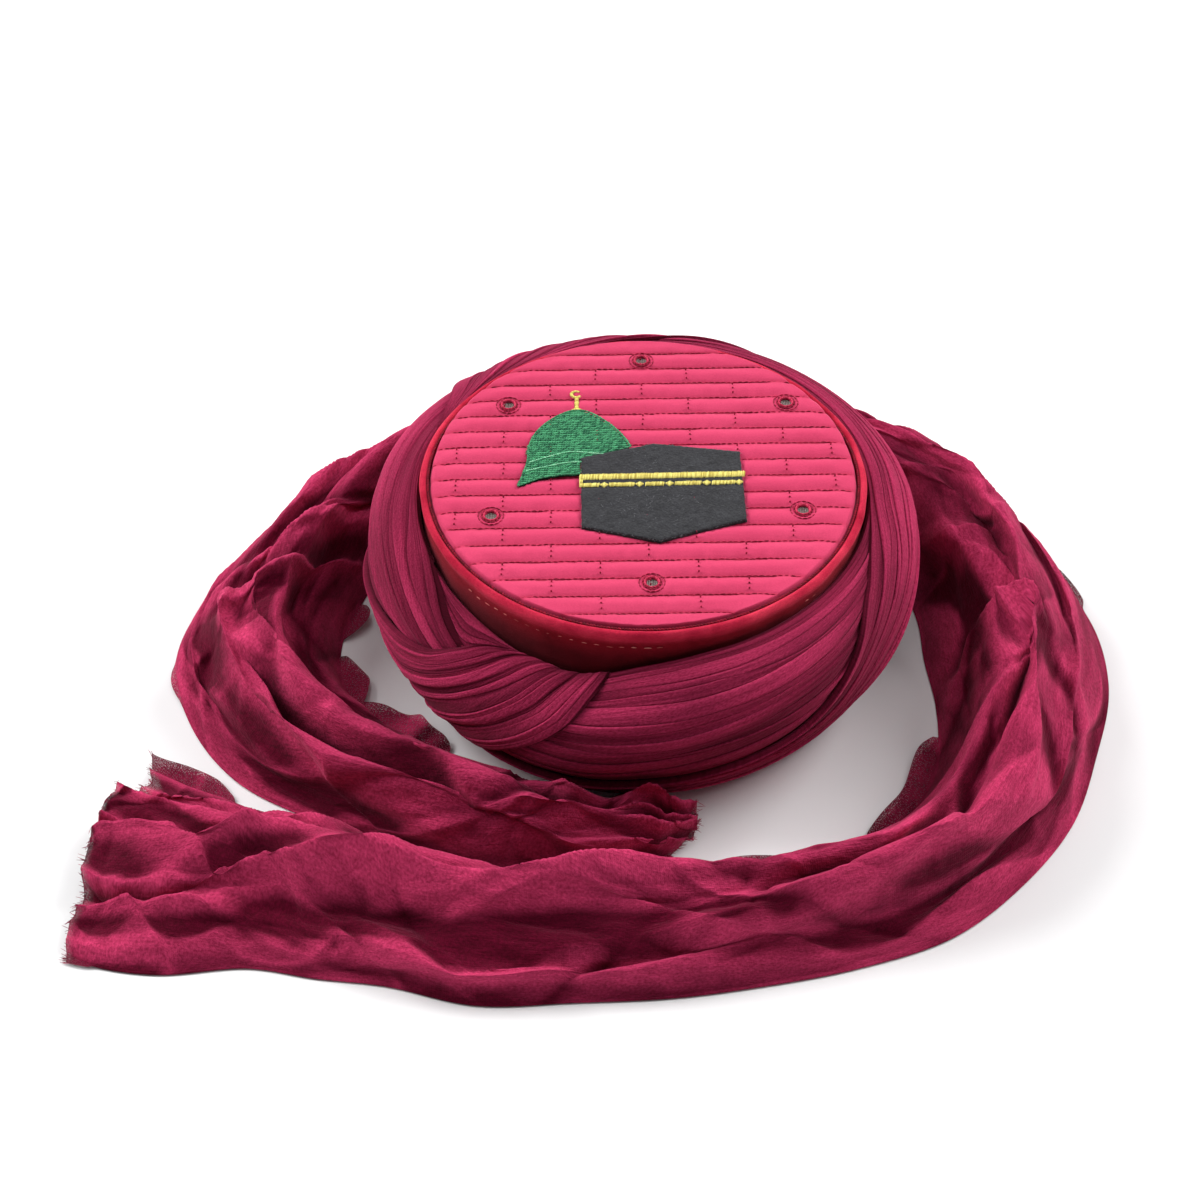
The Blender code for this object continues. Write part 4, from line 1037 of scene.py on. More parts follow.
def chance_ridges(litter, length, width, seed):
    """Folds strewn over a tail, running mostly along it."""
    chance = np.random.default_rng(seed)
    ridges = []
    for _ in range(int(litter.count * length)):
        reach = litter.length * chance.uniform(0.5, 1.2)
        turn = chance.normal(0, LITTER_TURN)
        bend = chance.normal(0, LITTER_BEND)
        s, t = chance.uniform(0, 1), chance.uniform(0.02, 0.98)
        places = []
        for share in (-0.5, -0.17, 0.17, 0.5):
            way = turn + bend * share
            run, drift = reach * share * math.cos(way), reach * share * math.sin(way)
            places.append((s + run / length, t + drift / width))
        height = litter.height * chance.uniform(0.45, 1.1) * (1 if chance.random() < 0.6 else -0.8)
        size = chance.uniform(0.75, 1.3)
        faces = 1 if chance.random() < 0.4 else -1
        ridges.append(Ridge(height, litter.gentle * size, litter.steep * size, faces, tuple(places)))
    return ridges


def line_bump(x, y, ridge, length, width, sharpness):
    """A ridge's height over points in metres, and the way that its steep face looks."""
    stretches = len(ridge.places) - 1
    places = smooth_between(ridge.places, np.linspace(0, stretches, RIDGE_SAMPLES * stretches + 1))
    line = places * (length, width)
    best = np.full(x.shape, np.inf)
    signed, share, way_x, way_y = (np.zeros(x.shape) for _ in range(4))
    for k, (a, b) in enumerate(zip(line, line[1:])):
        way = b - a
        size = np.hypot(*way)
        f = np.clip(((x - a[0]) * way[0] + (y - a[1]) * way[1]) / size ** 2, 0, 1)
        dx, dy = x - a[0] - f * way[0], y - a[1] - f * way[1]
        gap = np.hypot(dx, dy)
        closer = gap < best
        best = np.where(closer, gap, best)
        signed = np.where(closer, np.sign(way[0] * dy - way[1] * dx) * gap, signed)
        share = np.where(closer, (k + f) / (len(line) - 1), share)
        way_x = np.where(closer, -way[1] / size, way_x)
        way_y = np.where(closer, way[0] / size, way_y)
    reach = np.where(signed * ridge.faces > 0, ridge.steep, ridge.gentle)
    ends = np.sin(np.pi * np.clip(share, 0.02, 0.98)) ** 0.6
    bump = np.exp(-np.abs(signed / reach) ** sharpness) * ends
    return ridge.height * bump, way_x * ridge.faces, way_y * ridge.faces


def hem_widths(along, hems, seed):
    """How far the single layers of cloth reach past an edge, along it."""
    width = np.zeros_like(along)
    for hem in hems:
        share = np.clip((along - hem.start) / (hem.end - hem.start), 0, 1)
        rise = np.sin(np.pi * share) ** 0.7 if hem.end < 1 else ease(share, 0, 0.4)
        width = np.maximum(width, hem.width * rise)
    return width * (1 + 0.22 * chance_line(along, seed, 26))


def tail_table(rows, along):
    """Angles, reaches and height of a tail at shares along it, one array each."""
    return np.moveaxis(smooth_between(rows, along * (len(rows) - 1)), -1, 0)


def tail_edges(rows, along):
    """Outer and inner edge of a tail on the surface, and its height as a share."""
    table = tail_table(rows, along)
    outer, inner = (polar(table[k], table[k + 1] * TAIL_REACH, 0 * table[k]) for k in (0, 2))
    return outer, inner, table[4]


def tail_creases(s, t, length, seed):
    """Uneven creases over a whole tail, from broad to fine, in metres."""
    cells = int(length / BROAD.cell)
    warp_s = 0.5 / cells * chance_field(s, t, seed + 1, (cells, 4))
    warp_t = 0.07 * chance_field(s, t, seed + 2, (cells, 3))
    places = np.clip(s + warp_s, 0, 1), np.clip(t + warp_t, 0, 1)
    broad, middle, fine = (
        chance_field(*places, seed + 3 + k, (int(length / one.cell), one.cells_across))
        for k, one in enumerate((BROAD, MIDDLE, FINE))
    )
    sharp = BROAD.height * (np.abs(broad) ** 0.75 - CREASE_LEVEL)
    return sharp + MIDDLE.height * (np.abs(middle) ** 0.75 - CREASE_LEVEL) + FINE.height * fine


def tail_folds(one, s, t, along, length, width):
    """Lift of a tail's placed and chance folds, and how far they lean along and across it."""
    lift, lean_along, lean_across = (np.zeros(s.shape) for _ in range(3))
    layers = [(one.ridges, False)]
    for k, litter in enumerate(LITTER):
        layers.append((chance_ridges(litter, length, width.mean(), one.seed + 70 + k), True))
    for ridges, strewn in layers:
        high, deep = np.zeros(s.shape), np.zeros(s.shape)
        for ridge in ridges:
            margin = FOLD_MARGIN * ridge.gentle / length
            shares = [place[0] for place in ridge.places]
            rows = slice(*np.searchsorted(along, (min(shares) - margin, max(shares) + margin)))
            if rows.stop - rows.start < 3:
                continue
            raised = ridge.height > 0
            sharpness = CHANCE_SHARPNESS if strewn else PLACED_SHARPNESS if raised else VALLEY_SHARPNESS
            grown, way_x, way_y = line_bump(
                s[rows] * length, t[rows] * width[rows], ridge, length, width[rows].mean(), sharpness,
            )
            layer = high if raised else deep
            before = layer[rows].copy()
            if strewn:
                layer[rows] = (np.maximum if raised else np.minimum)(before, grown)
            else:
                layer[rows] += grown
            added = (FOLD_LEAN if raised else VALLEY_LEAN) * (layer[rows] - before)
            lean_along[rows] += added * way_x
            lean_across[rows] += added * way_y
        lift += high + deep
    return lift, lean_along, lean_across


Tail = namedtuple("Tail", "node rows wander seed ridges inner_hems outer_hems end")
TAILS = (
    Tail("tail_left", TAIL_LEFT, 0.2, 400, LEFT_RIDGES, LEFT_INNER_HEMS, LEFT_OUTER_HEMS, LEFT_END),
    Tail("tail_right", TAIL_RIGHT, 0.9, 500, RIGHT_RIDGES, RIGHT_INNER_HEMS, RIGHT_OUTER_HEMS, RIGHT_END),
)


def make_tail(one, finish):
    outer, inner, _ = tail_edges(one.rows, np.linspace(0, 1, 200))
    length = line_length((outer + inner) / 2)
    along = np.linspace(0, 1, int(length / TAIL_STEP))
    s, t = np.meshgrid(along, np.linspace(0, 1, TAIL_COLUMNS), indexing="ij")
    outer, inner, height = tail_edges(one.rows, s)
    width = np.linalg.norm(outer - inner, axis=-1)
    low, phase = tail_mound(s, t, height * TAIL_HEIGHT, width, one.wander)
    inside = np.sin(np.pi * t) ** 0.5
    strength = np.minimum(1.0, width / TAIL_WIDTH)
    creases = tail_creases(s, t, length, one.seed) * inside * strength
    folds, lean_along, lean_across = tail_folds(one, s, t, along, length, width)
    spread = ease(s, SPREAD_FIRST, SPREAD_LAST)
    folds = np.clip(folds, FOLD_LOWEST, FOLD_HIGHEST) * (0.35 + 0.65 * strength) * (1 - 0.35 * spread)
    turns = FAN_PLEATS * t + 0.5 * np.sin(8 * s) + 0.25 * chance_line(s, one.seed + 60, 9)
    fan = spread * FAN_HEIGHT * (1 - 2 * np.abs(np.sin(np.pi * turns)) ** 0.8)
    lift = TAIL_CLOTH * 0.5 * inside + creases + (folds + fan - TAIL_SINK) * inside
    level = np.maximum(low + lift, 0) + TAIL_FLOOR
    swing = (0.024 * np.sin(phase) + 0.018 * np.cos(phase)) * inside * strength
    t_moved = t + swing + lean_across * inside / width
    ragged = smooth_between(np.array(one.end)[:, None], t * (len(one.end) - 1))[..., 0]
    ragged = ragged + END_RAGGED * chance_line(t, one.seed + 9, 40)
    s_moved = s + (lean_along * inside + ease(s, END_START, 1.0) * ragged) / length
    moved = tail_table(one.rows, np.clip(s_moved, 0, 1.03))
    angle = moved[0] + (moved[2] - moved[0]) * t_moved
    reach = (moved[1] + (moved[3] - moved[1]) * t_moved) * TAIL_REACH
    clear = face_radius(angle, level) + TAIL_CLEARANCE + TAIL_CLOTH
    points = polar(angle, np.maximum(reach, clear), level)
    # Painted shade and light: cloth lying below its smoothed surroundings is coloured darker, cloth above them lighter
    relief = folds + creases + fan
    steps = length / len(along), width.mean() / TAIL_COLUMNS
    hollow = relief - smoothed(relief, HOLLOW_REACH, *steps)
    crest = np.clip(PAINTED_LIGHT_MIDDLE + hollow / PAINTED_LIGHT_RISE, 0, 1)
    thin = ease(s, SHEER_END, 1.0) * (0.4 + 0.6 * ease(t, 0.3, 0.6))
    points, crest, thin = with_hems(one, along, points, crest, thin)
    gaps = np.linalg.norm(np.diff(points, axis=1), axis=-1).mean(0)
    uv = np.stack(np.broadcast_arrays(along[:, None] * length, np.concatenate(((0,), np.cumsum(gaps)))), -1)
    thing = mesh_object(
        one.node + "_cloth", points, grid_faces(*crest.shape), finish, uv, {"crest": crest, "sheer": thin},
    )
    dress(thing, "muslin", one.node)
    declare(thing, length, "wrap_back_cloth", [make_fringe(one, points)])


def smoothed(values, reach, row_step, column_step):
    """Values averaged over a reach both ways, twice."""
    for axis, step in ((0, row_step), (1, column_step)) * 2:
        half = max(1, int(reach / step))
        edged = np.pad(values, [(half, half) if k == axis else (0, 0) for k in (0, 1)], "edge")
        total = np.cumsum(edged, axis)
        zero = np.zeros_like(np.take(total, [0], axis))
        total = np.concatenate((zero, total), axis)
        size = 2 * half + 1
        count = values.shape[axis]
        high = np.take(total, np.arange(size, size + count), axis)
        low = np.take(total, np.arange(count), axis)
        values = (high - low) / size
    return values


def make_fringe(one, points):
    """Loose threads along the cut end of a tail."""
    chance = np.random.default_rng(one.seed + 90)
    edge = points[-1]
    outward = unit(edge - points[-4])
    rows = np.sort(chance.integers(0, len(edge), FRINGE_THREADS))
    length = chance.uniform(*FRINGE_LENGTHS, FRINGE_THREADS)[:, None]
    side = chance.normal(0, FRINGE_STRAY, (FRINGE_THREADS, 3))
    starts = edge[rows] - outward[rows] * 0.001
    ends = edge[rows] + (outward[rows] + side) * length
    threads = np.stack((starts, ends), 1)
    threads[..., 2] = np.maximum(threads[..., 2], FRINGE_LOWEST)
    name = one.node + "_fringe"
    # The threads run between the muslin's painted shade colour and its painted light colour
    finish = thread(name, MUSLIN_PAINTED_SHADE, MUSLIN_PAINTED_LIGHT)
    return sew(name, "muslin", threads, FRINGE_RADIUS, finish, rise=0.35, sides=3)


def with_hems(one, along, points, crest, thin):
    """Curl the cloth under at its edges, or let a thin single layer run out past them."""
    for index, inner, hems in ((0, 4, one.outer_hems), (-1, -5, one.inner_hems)):
        width = hem_widths(along, hems, one.seed + 20 + index)[:, None]
        free = ease(width, 0.0008, 0.004)
        edge = points[:, index]
        outward = edge - points[:, inner]
        outward[:, 2] = 0
        outward = unit(outward)
        wave = 0.5 + 0.5 * chance_line(along, one.seed + 31 + index, 34)[:, None]
        added = []
        for k in range(1, HEM_COLUMNS + 1):
            f = k / HEM_COLUMNS
            curl_out = CURL_OUT * (math.sin(math.pi * f) - 2 * max(0, f - 0.6))
            curl_up = -CURL_DOWN * min(1, 1.2 * f)
            out = (1 - free) * curl_out + free * width * f
            up = (1 - free) * curl_up + free * width * (0.55 * wave * f ** 1.4 - 0.10 * f)
            place = edge + outward * out
            place[:, 2] = np.maximum(place[:, 2] + up[:, 0], HEM_LOWEST)
            added.append(place)
        shares = np.arange(1, HEM_COLUMNS + 1)[None] / HEM_COLUMNS
        # The hems carry on the painted shade and light of the edge they start from
        marks = np.repeat(crest[:, [index]], HEM_COLUMNS, 1)
        sheer = np.maximum(free * (0.25 + 0.65 * shares), np.repeat(thin[:, [index]], HEM_COLUMNS, 1))
        grown = []
        for values, more in ((points, np.stack(added, 1)), (crest, marks), (thin, sheer)):
            pair = (more[:, ::-1], values) if index == 0 else (values, more)
            grown.append(np.concatenate(pair, 1))
        points, crest, thin = grown
    return points, crest, thin


# Cap

QUILT_ROWS = 17
QUILT_PITCH = 0.01052
QUILT_FORWARD = 0.00075
QUILT_TILT = math.radians(1.3)
QUILT_MARK_LEAN = 0.018
DIP_REACH = 0.014
DIP_DEPTH = 0.0022
QUILT_EDGE = CROWN_RADIUS - 0.0014
QUILT_STEPS = 220
QUILT_STITCH = 0.00252
QUILT_STITCH_PITCH = 0.0026
QUILT_THREAD = 0.00029
MARK_THREAD = 0.00044
MARK_HALF = 0.0004
MARK_SPACING = 0.0412
MARK_SHARES = (0.22, 0.50, 0.78)
GROOVE_WIDTH = 0.0007
GROOVE_DEPTH = 0.0007
PUFF_HEIGHT = 0.0005
PUCKER_HEIGHT = 0.00010
WRINKLE_HEIGHT = 0.00022
EDGE_DROP = 0.0062
EDGE_ROUND = 0.0016
DASH_THREAD = 0.00026
CORD_THREAD = 0.00045
EYELET_CLEARANCE = 0.0055
RIM_WIDTH = 0.0034
RIM_DEPTH = 0.0055
RIM_SINK = 0.0030
RIM_WAVE = 0.00025
DENT_DEPTH = 0.00035
BAND_COLUMNS = 360
# Share of the way back at which the velvet rim starts to sink below the quilting
BACK_RIM_START = 0.0
Eyelet = namedtuple("Eyelet", "right back")
EYELETS = tuple(
    Eyelet((low.x + high.x) / 2 - AXIS[0], (low.y + high.y) / 2 - AXIS[1])
    for low, high in (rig.box(f"eyelet_{number}") for number in range(1, 7))
)


def quilt_lines():
    """How far back each stitched row lies, from the front."""
    middle = (QUILT_ROWS - 1) / 2
    return [(row - middle) * QUILT_PITCH - QUILT_FORWARD for row in range(QUILT_ROWS)]


def quilt_row_y(line, x):
    """How far back a stitched row runs at x: it rises to the right and dips near the rim."""
    half = np.sqrt(np.maximum(CROWN_RADIUS ** 2 - line ** 2, 0))
    rim = np.clip(1 - (half - np.abs(x)) / DIP_REACH, 0, 1)
    return line / math.cos(QUILT_TILT) + x * math.tan(QUILT_TILT) - DIP_DEPTH * rim ** 2


def make_quilt(finish):
    turn = np.linspace(-np.pi / 2, np.pi / 2, QUILT_STEPS)[:, None] * 0.9999
    share = np.linspace(-1, 1, QUILT_STEPS)[None]
    y = QUILT_EDGE * np.sin(turn) + 0 * share
    x = QUILT_EDGE * np.cos(turn) * share
    radius = np.hypot(x, y)
    nearest = np.full(x.shape, 1.0)
    for line in quilt_lines():
        nearest = np.minimum(nearest, np.abs(y - quilt_row_y(line, x)))
    groove = np.exp(-(nearest / GROOVE_WIDTH) ** 1.2)
    puff = PUFF_HEIGHT * np.cos(np.pi * np.clip(nearest / QUILT_PITCH, 0, 0.5) * 2)
    puff *= 1 - 0.8 * ease(radius, QUILT_EDGE - 0.012, QUILT_EDGE - 0.002)
    pucker = PUCKER_HEIGHT * np.sin(2 * np.pi * x / QUILT_STITCH_PITCH) * np.exp(-nearest / 0.0016)
    wrinkle = WRINKLE_HEIGHT * chance_field(0.5 + x / 0.2, 0.5 + y / 0.2, 71, (60, 34))
    z = CAP_HEIGHT - GROOVE_DEPTH * groove - puff + pucker + wrinkle
    z -= EDGE_DROP * ease(radius, QUILT_EDGE - EDGE_ROUND, QUILT_EDGE) ** 1.3
    for place in EYELETS:
        gap = np.hypot(x - place.right, y - place.back)
        z = z + (CAP_HEIGHT - 0.0002 - z) * np.exp(-(gap / 0.006) ** 4)
        z -= 0.003 * (1 - ease(gap, 0.0018, 0.0028))
    uv = np.stack((x, y), -1)
    for outline in (CUBE_OUTLINE, np.array(DOME_BACK + DOME_FRONT)):
        centre = outline.mean(0)
        covered = inside_polygon(uv.reshape(-1, 2), centre + (outline - centre) * 1.03).reshape(x.shape)
        z = np.where(covered, np.minimum(z, CAP_HEIGHT - 0.0003), z)
    points = np.stack((x, y, z), -1)
    # The groove mark also paints shade along the stitched rows
    thing = mesh_object("quilted_top", points, grid_faces(*x.shape), finish, uv, {"groove": groove * 0.75})
    dress(thing, "quilted_cotton", "crown_panel")
    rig.padded(thing, fill=0.4)


def make_velvet_band(finish):
    rim_top = BAND_HIGH.z
    seat = QUILT_EDGE + 0.0006
    inner = WALL_RADIUS - WALL_THICKNESS
    roll = [
        (
            seat + RIM_WIDTH * (0.5 - 0.5 * math.cos(math.pi * f)),
            rim_top - RIM_DEPTH * 0.45 * (1 - math.sin(math.pi * f)),
        )
        for f in np.linspace(0, 1, 10)
    ]
    below = [(WALL_RADIUS, rim_top - RIM_DEPTH), (WALL_RADIUS - 0.0003, rim_top - RIM_DEPTH - 0.0012)]
    wall = [(WALL_RADIUS, height) for height in np.linspace(rim_top - RIM_DEPTH - 0.003, 0.0006, 44)]
    foot = [(WALL_RADIUS - 0.0004, 0.0001), (inner + 0.0004, 0.0001)]
    inside = [(inner, height) for height in np.linspace(0.0006, CAP_HEIGHT - 0.0067, 16)]
    ledge = [(seat - 0.0002, CAP_HEIGHT - 0.0066), (seat - 0.0001, rim_top - 0.003)]
    profile = np.array(ledge + roll + below + wall + foot + inside)
    angle = np.linspace(0, 360, BAND_COLUMNS, endpoint=False)[:, None]
    radius, height = (profile[None, :, k] + 0 * angle for k in (0, 1))
    share = angle / 360 + 0 * radius
    dents = chance_field(share, np.clip(height / 0.1, 0, 1), 81, (44, 9))
    waves = chance_field(share, 0.5 + 0 * share, 83, (60, 1))
    outer = ease(radius, WALL_RADIUS - 0.001, WALL_RADIUS - 0.0004) * ease(height, 0.001, 0.004)
    radius = radius + outer * DENT_DEPTH * dents
    height = height + RIM_WAVE * ease(height, rim_top - 0.004, rim_top - 0.002) * waves
    # Painted shade and highlight: share of the way up to the rim, darker below and lighter along the rim
    rise = ease(height, rim_top - 0.019, rim_top - 0.001)
    back = ease(-np.cos(np.radians(angle)), BACK_RIM_START, 0.6)
    height = height - RIM_SINK * back * ease(height, rim_top - 0.0075, rim_top - 0.004)
    points = polar(angle + 0 * radius, radius, height)
    uv = np.stack((share * 2 * np.pi * WALL_RADIUS, height), -1)
    faces = grid_faces(BAND_COLUMNS, len(profile), closed_rows=True, closed_columns=True)
    thing = mesh_object("velvet_band", points, faces, finish, uv, {"rise": rise})
    dress(thing, "velvet", "side_band")


def at_level(places, level):
    """Flat places with one height, or one for each."""
    return np.column_stack((places, np.broadcast_to(level, len(places))))


def sew(name, slot, stitches, radius, finish, node=None, rise=0.5, sides=5, stations=5):
    """Short raised stitches between pairs of places, as bent tubes in one piece."""
    starts, ends = np.moveaxis(np.asarray(stitches, float), 1, 0)
    count = len(starts)
    radius = np.broadcast_to(np.asarray(radius, float), (count,))
    direction = unit(ends - starts, 0)
    side = unit(np.cross(direction, np.array((0.0, 0.0, 1.0))), 0)
    rise_way = np.cross(side, direction)
    f = np.linspace(0, 1, stations)
    arch = np.sin(np.pi * f)
    centre = starts[:, None] + (ends - starts)[:, None] * f[None, :, None]
    centre += rise_way[:, None] * (radius[:, None] * 2 * rise * arch[None])[..., None]
    turn = np.linspace(0, 2 * np.pi, sides, endpoint=False)
    thick = radius[:, None] * (0.45 + 0.55 * arch[None] ** 0.5)
    ring = (
        side[:, None, None] * np.cos(turn)[None, None, :, None]
        + rise_way[:, None, None] * np.sin(turn)[None, None, :, None]
    ) * thick[:, :, None, None]
    points = (centre[:, :, None] + ring).reshape(count, -1, 3)
    one = grid_faces(stations, sides, closed_columns=True)
    faces = (one[None] + (np.arange(count) * stations * sides)[:, None, None]).reshape(-1, 4)
    shades = np.random.default_rng(count).uniform(0, 1, count)
    marks = {"shade": np.repeat(shades, stations * sides)}
    thing = mesh_object(name, points, faces, finish, marks=marks)
    return dress(thing, slot, node)


def make_quilt_stitches(finish):
    """Running stitches along the rows, and three short marks over the rows at even places."""
    stitches, sizes = [], []
    chance = np.random.default_rng(5)
    limit = QUILT_EDGE - 0.0012
    level = CAP_HEIGHT - 0.0008
    lines = quilt_lines()
    for line in lines:
        half = math.sqrt(max(limit ** 2 - line ** 2, 0))
        for x in np.arange(-half, half - QUILT_STITCH, QUILT_STITCH_PITCH):
            ys = [quilt_row_y(line, value) for value in (x, x + QUILT_STITCH)]
            gaps = [math.hypot(x + QUILT_STITCH / 2 - one.right, ys[0] - one.back) for one in EYELETS]
            if min(gaps) < EYELET_CLEARANCE or math.hypot(x, ys[0]) > limit:
                continue
            wobble = chance.normal(0, 0.00013, 2)
            stitches.append(((x, ys[0] + wobble[0], level), (x + QUILT_STITCH, ys[1] + wobble[1], level)))
            sizes.append(QUILT_THREAD)
    for row, (low, high) in enumerate(zip(lines, lines[1:])):
        middle = (low + high) / 2
        half = math.sqrt(max((limit - 0.006) ** 2 - middle ** 2, 0))
        for k in range(-3, 4):
            x = k * MARK_SPACING + (0.0 if row % 2 else MARK_SPACING / 2) - QUILT_MARK_LEAN * middle + 0.0009
            if abs(x) > half:
                continue
            for share in MARK_SHARES:
                y = quilt_row_y(low + (high - low) * share, x)
                level = CAP_HEIGHT + 0.0005 - 0.0022 * abs(share - 0.5) ** 2
                stitches.append([
                    (x + chance.normal(0, 0.0001), y + side, level) for side in (-MARK_HALF, MARK_HALF)
                ])
                sizes.append(MARK_THREAD)
    sew("quilt_stitches", "eyelet_thread", stitches, sizes, finish)


def make_velvet_stitches(finish):
    """Light dashes below the rim where the velvet shows widest."""
    stitches = []
    chance = np.random.default_rng(6)
    for angle in np.concatenate((np.arange(-50, 3, 3.1), (44.0, 46.6))):
        level = BAND_HIGH.z - 0.0088 + chance.normal(0, 0.0002)
        turn = 1.7 * chance.uniform(0.5, 1.15)
        stitches.append([polar(place, WALL_RADIUS + 0.0001, level) for place in (angle, angle + turn)])
    sew("velvet_stitches", "velvet", stitches, DASH_THREAD, finish, rise=0.2)


def make_rim_cord(finish):
    """Dark twisted thread laid in the groove round the quilted top."""
    turns = np.radians(np.arange(0, 360, 0.9))
    back = ease(np.sin(turns), BACK_RIM_START, 0.6)
    level = CAP_HEIGHT - 0.0017 - 0.0025 * back
    inner, outer = QUILT_EDGE - 0.0002, QUILT_EDGE + 0.0005
    strands = [
        at_level(radius * np.stack((np.cos(angle), np.sin(angle)), -1), level)
        for radius, angle in ((inner, turns), (outer, turns + math.radians(1.1)))
    ]
    sew("rim_cord", "velvet", np.stack(strands, 1), CORD_THREAD, finish)


# Emblem and eyelets

CUBE_LOW, CUBE_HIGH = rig.box("cube_patch")
CUBE_LEFT, CUBE_FRONT = CUBE_LOW.x - AXIS[0], CUBE_LOW.y - AXIS[1]
CUBE_WIDTH, CUBE_LENGTH = CUBE_HIGH.x - CUBE_LOW.x, CUBE_HIGH.y - CUBE_LOW.y
CUBE_TOP = CUBE_HIGH.z
Corner = namedtuple("Corner", "right_share back_share")
CUBE_CORNERS = (
    Corner(0.0056, 0.137), Corner(0.471, 0.0), Corner(1.0, 0.214), Corner(0.982, 0.914),
    Corner(0.449, 1.0), Corner(0.0, 0.848),
)
Bar = namedtuple("Bar", "start end")
GOLD_BARS = (Bar(0.0, 0.11), Bar(0.172, 0.321), Bar(0.393, 0.506), Bar(0.573, 0.735), Bar(0.799, 0.935))
GOLD_DIAMONDS = (0.141, 0.357, 0.5395, 0.767, 0.963)
GOLD_SLOPE = 0.0315
FELT_SEAT = 0.0004
FELT_SIDE = 46
FELT_RINGS = 30
FELT_RELIEF = 0.00016
HAIR_RADIUS = 0.00006
SATIN_PITCH = 0.00048
SATIN_RADIUS = 0.00029
SATIN_SLANT = 0.0004
GOLD_LEVEL = CUBE_TOP + 0.00012
GOLD_OVERHANG = 0.0006
BAND_FRONT, BAND_BACK = -0.0052, -0.0015
BAR_FRONT, BAR_BACK = -0.0099, -0.0073
DIAMOND_REACH = 0.0019
# The felt's rounded edge: how far in and how high, as a share of its thickness
FELT_EDGE = ((0.0, 0.0), (0.00010, 0.5), (0.0003, 0.9), (0.0008, 1.0))


CUBE_OUTLINE = np.array([
    (CUBE_LEFT + corner.right_share * CUBE_WIDTH, CUBE_FRONT + corner.back_share * CUBE_LENGTH)
    for corner in CUBE_CORNERS
])


def make_felt_patch(finish):
    turned = np.roll(CUBE_OUTLINE, -1, 0)
    shares = np.linspace(0, 1, FELT_SIDE, endpoint=False)[:, None]
    edge = np.concatenate([a + (b - a) * shares for a, b in zip(CUBE_OUTLINE, turned)])
    centre = CUBE_OUTLINE.mean(0)
    out = unit(edge - centre, 0)
    edge = edge + out * (FELT_RELIEF * chance_line(np.arange(len(edge)) / len(edge), 31, 210))[:, None]
    low = CAP_HEIGHT - FELT_SEAT
    points = [
        at_level(edge - out * inset, low + height * (CUBE_TOP - low)) for inset, height in FELT_EDGE
    ]
    last = points[-1][:, :2]
    for f in np.linspace(0.04, 0.999, FELT_RINGS):
        ring = last + (centre - last) * f
        relief = FELT_RELIEF * chance_field(0.5 + ring[:, 0] / 0.2, 0.5 + ring[:, 1] / 0.2, 33, (90, 90))
        points.append(at_level(ring, CUBE_TOP + relief))
    points = np.array(points)
    faces = grid_faces(len(points), len(edge), closed_columns=True)
    thing = mesh_object("felt_patch", points, faces, finish, points[..., :2])
    dress(thing, "black_felt", "cube_patch")
    area = abs((CUBE_OUTLINE[:, 0] * turned[:, 1] - turned[:, 0] * CUBE_OUTLINE[:, 1]).sum()) / 2
    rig.sheet(thing, flat=(CUBE_WIDTH, CUBE_LENGTH), held="laid", rests_on=["quilted_top"], area=area)


def make_hairs(finish):
    """Felt fibres that stand off the patch and its edge."""
    chance = np.random.default_rng(34)
    hairs = []
    for a, b in zip(CUBE_OUTLINE, np.roll(CUBE_OUTLINE, -1, 0)):
        for f in chance.uniform(0, 1, 60):
            place = a + (b - a) * f
            end = place + chance.normal(0, 0.0005, 2)
            hairs.append(((*place, CUBE_TOP - 0.0004), (*end, CUBE_TOP - 0.0003 + chance.uniform(0, 0.0004))))
    for _ in range(260):
        place = chance.dirichlet(np.ones(len(CUBE_OUTLINE))) @ CUBE_OUTLINE
        end = place + chance.normal(0, 0.0009, 2)
        hairs.append(((*place, CUBE_TOP), (*end, CUBE_TOP + chance.uniform(0.0001, 0.0004))))
    sew("felt_hairs", "black_felt", hairs, HAIR_RADIUS, finish, rise=0.35, sides=3, stations=3)


def satin(chance, left, right, low, high):
    """Upright satin stitches side by side from left to right."""
    stitches = []
    for x in np.arange(left, right, SATIN_PITCH):
        tilt = GOLD_SLOPE * (x - left)
        jag = chance.normal(0, 0.00013, 2)
        low_end = (x, low + tilt + jag[0], GOLD_LEVEL)
        stitches.append((low_end, (x + SATIN_SLANT, high + tilt + jag[1], GOLD_LEVEL)))
    return stitches


def make_gold(finish):
    chance = np.random.default_rng(41)
    start, right = CUBE_LEFT - GOLD_OVERHANG, CUBE_LEFT + CUBE_WIDTH
    band = satin(chance, start, right, BAND_FRONT, BAND_BACK)
    band += satin(chance, start, start + 0.0014, BAR_BACK - 0.0002, BAND_FRONT + 0.0004)
    sew("gold_band_stitches", "gold_thread", band, SATIN_RADIUS, finish, "gold_band", rise=0.6)
    for number, bar in enumerate(GOLD_BARS, 1):
        left = CUBE_LEFT + bar.start * CUBE_WIDTH - (GOLD_OVERHANG if number == 1 else 0)
        tilt = GOLD_SLOPE * bar.start * CUBE_WIDTH
        stitches = satin(chance, left, CUBE_LEFT + bar.end * CUBE_WIDTH, BAR_FRONT + tilt, BAR_BACK + tilt)
        name = f"gold_bar_{number}"
        sew(name + "_stitches", "gold_thread", stitches, SATIN_RADIUS, finish, name, rise=0.6)
    for number, share in enumerate(GOLD_DIAMONDS, 1):
        stitches = []
        middle = (BAR_FRONT + BAR_BACK) / 2 + GOLD_SLOPE * share * CUBE_WIDTH
        centre = CUBE_LEFT + share * CUBE_WIDTH
        for x in np.arange(-DIAMOND_REACH, DIAMOND_REACH, SATIN_PITCH):
            half = 0.0017 * (1 - abs(x) / 0.0021) + 0.0001
            stitches.append((
                (centre + x, middle - half, GOLD_LEVEL), (centre + x + 0.0002, middle + half, GOLD_LEVEL),
            ))
        name = f"gold_diamond_{number}"
        sew(name + "_stitches", "gold_thread", stitches, SATIN_RADIUS, finish, name)


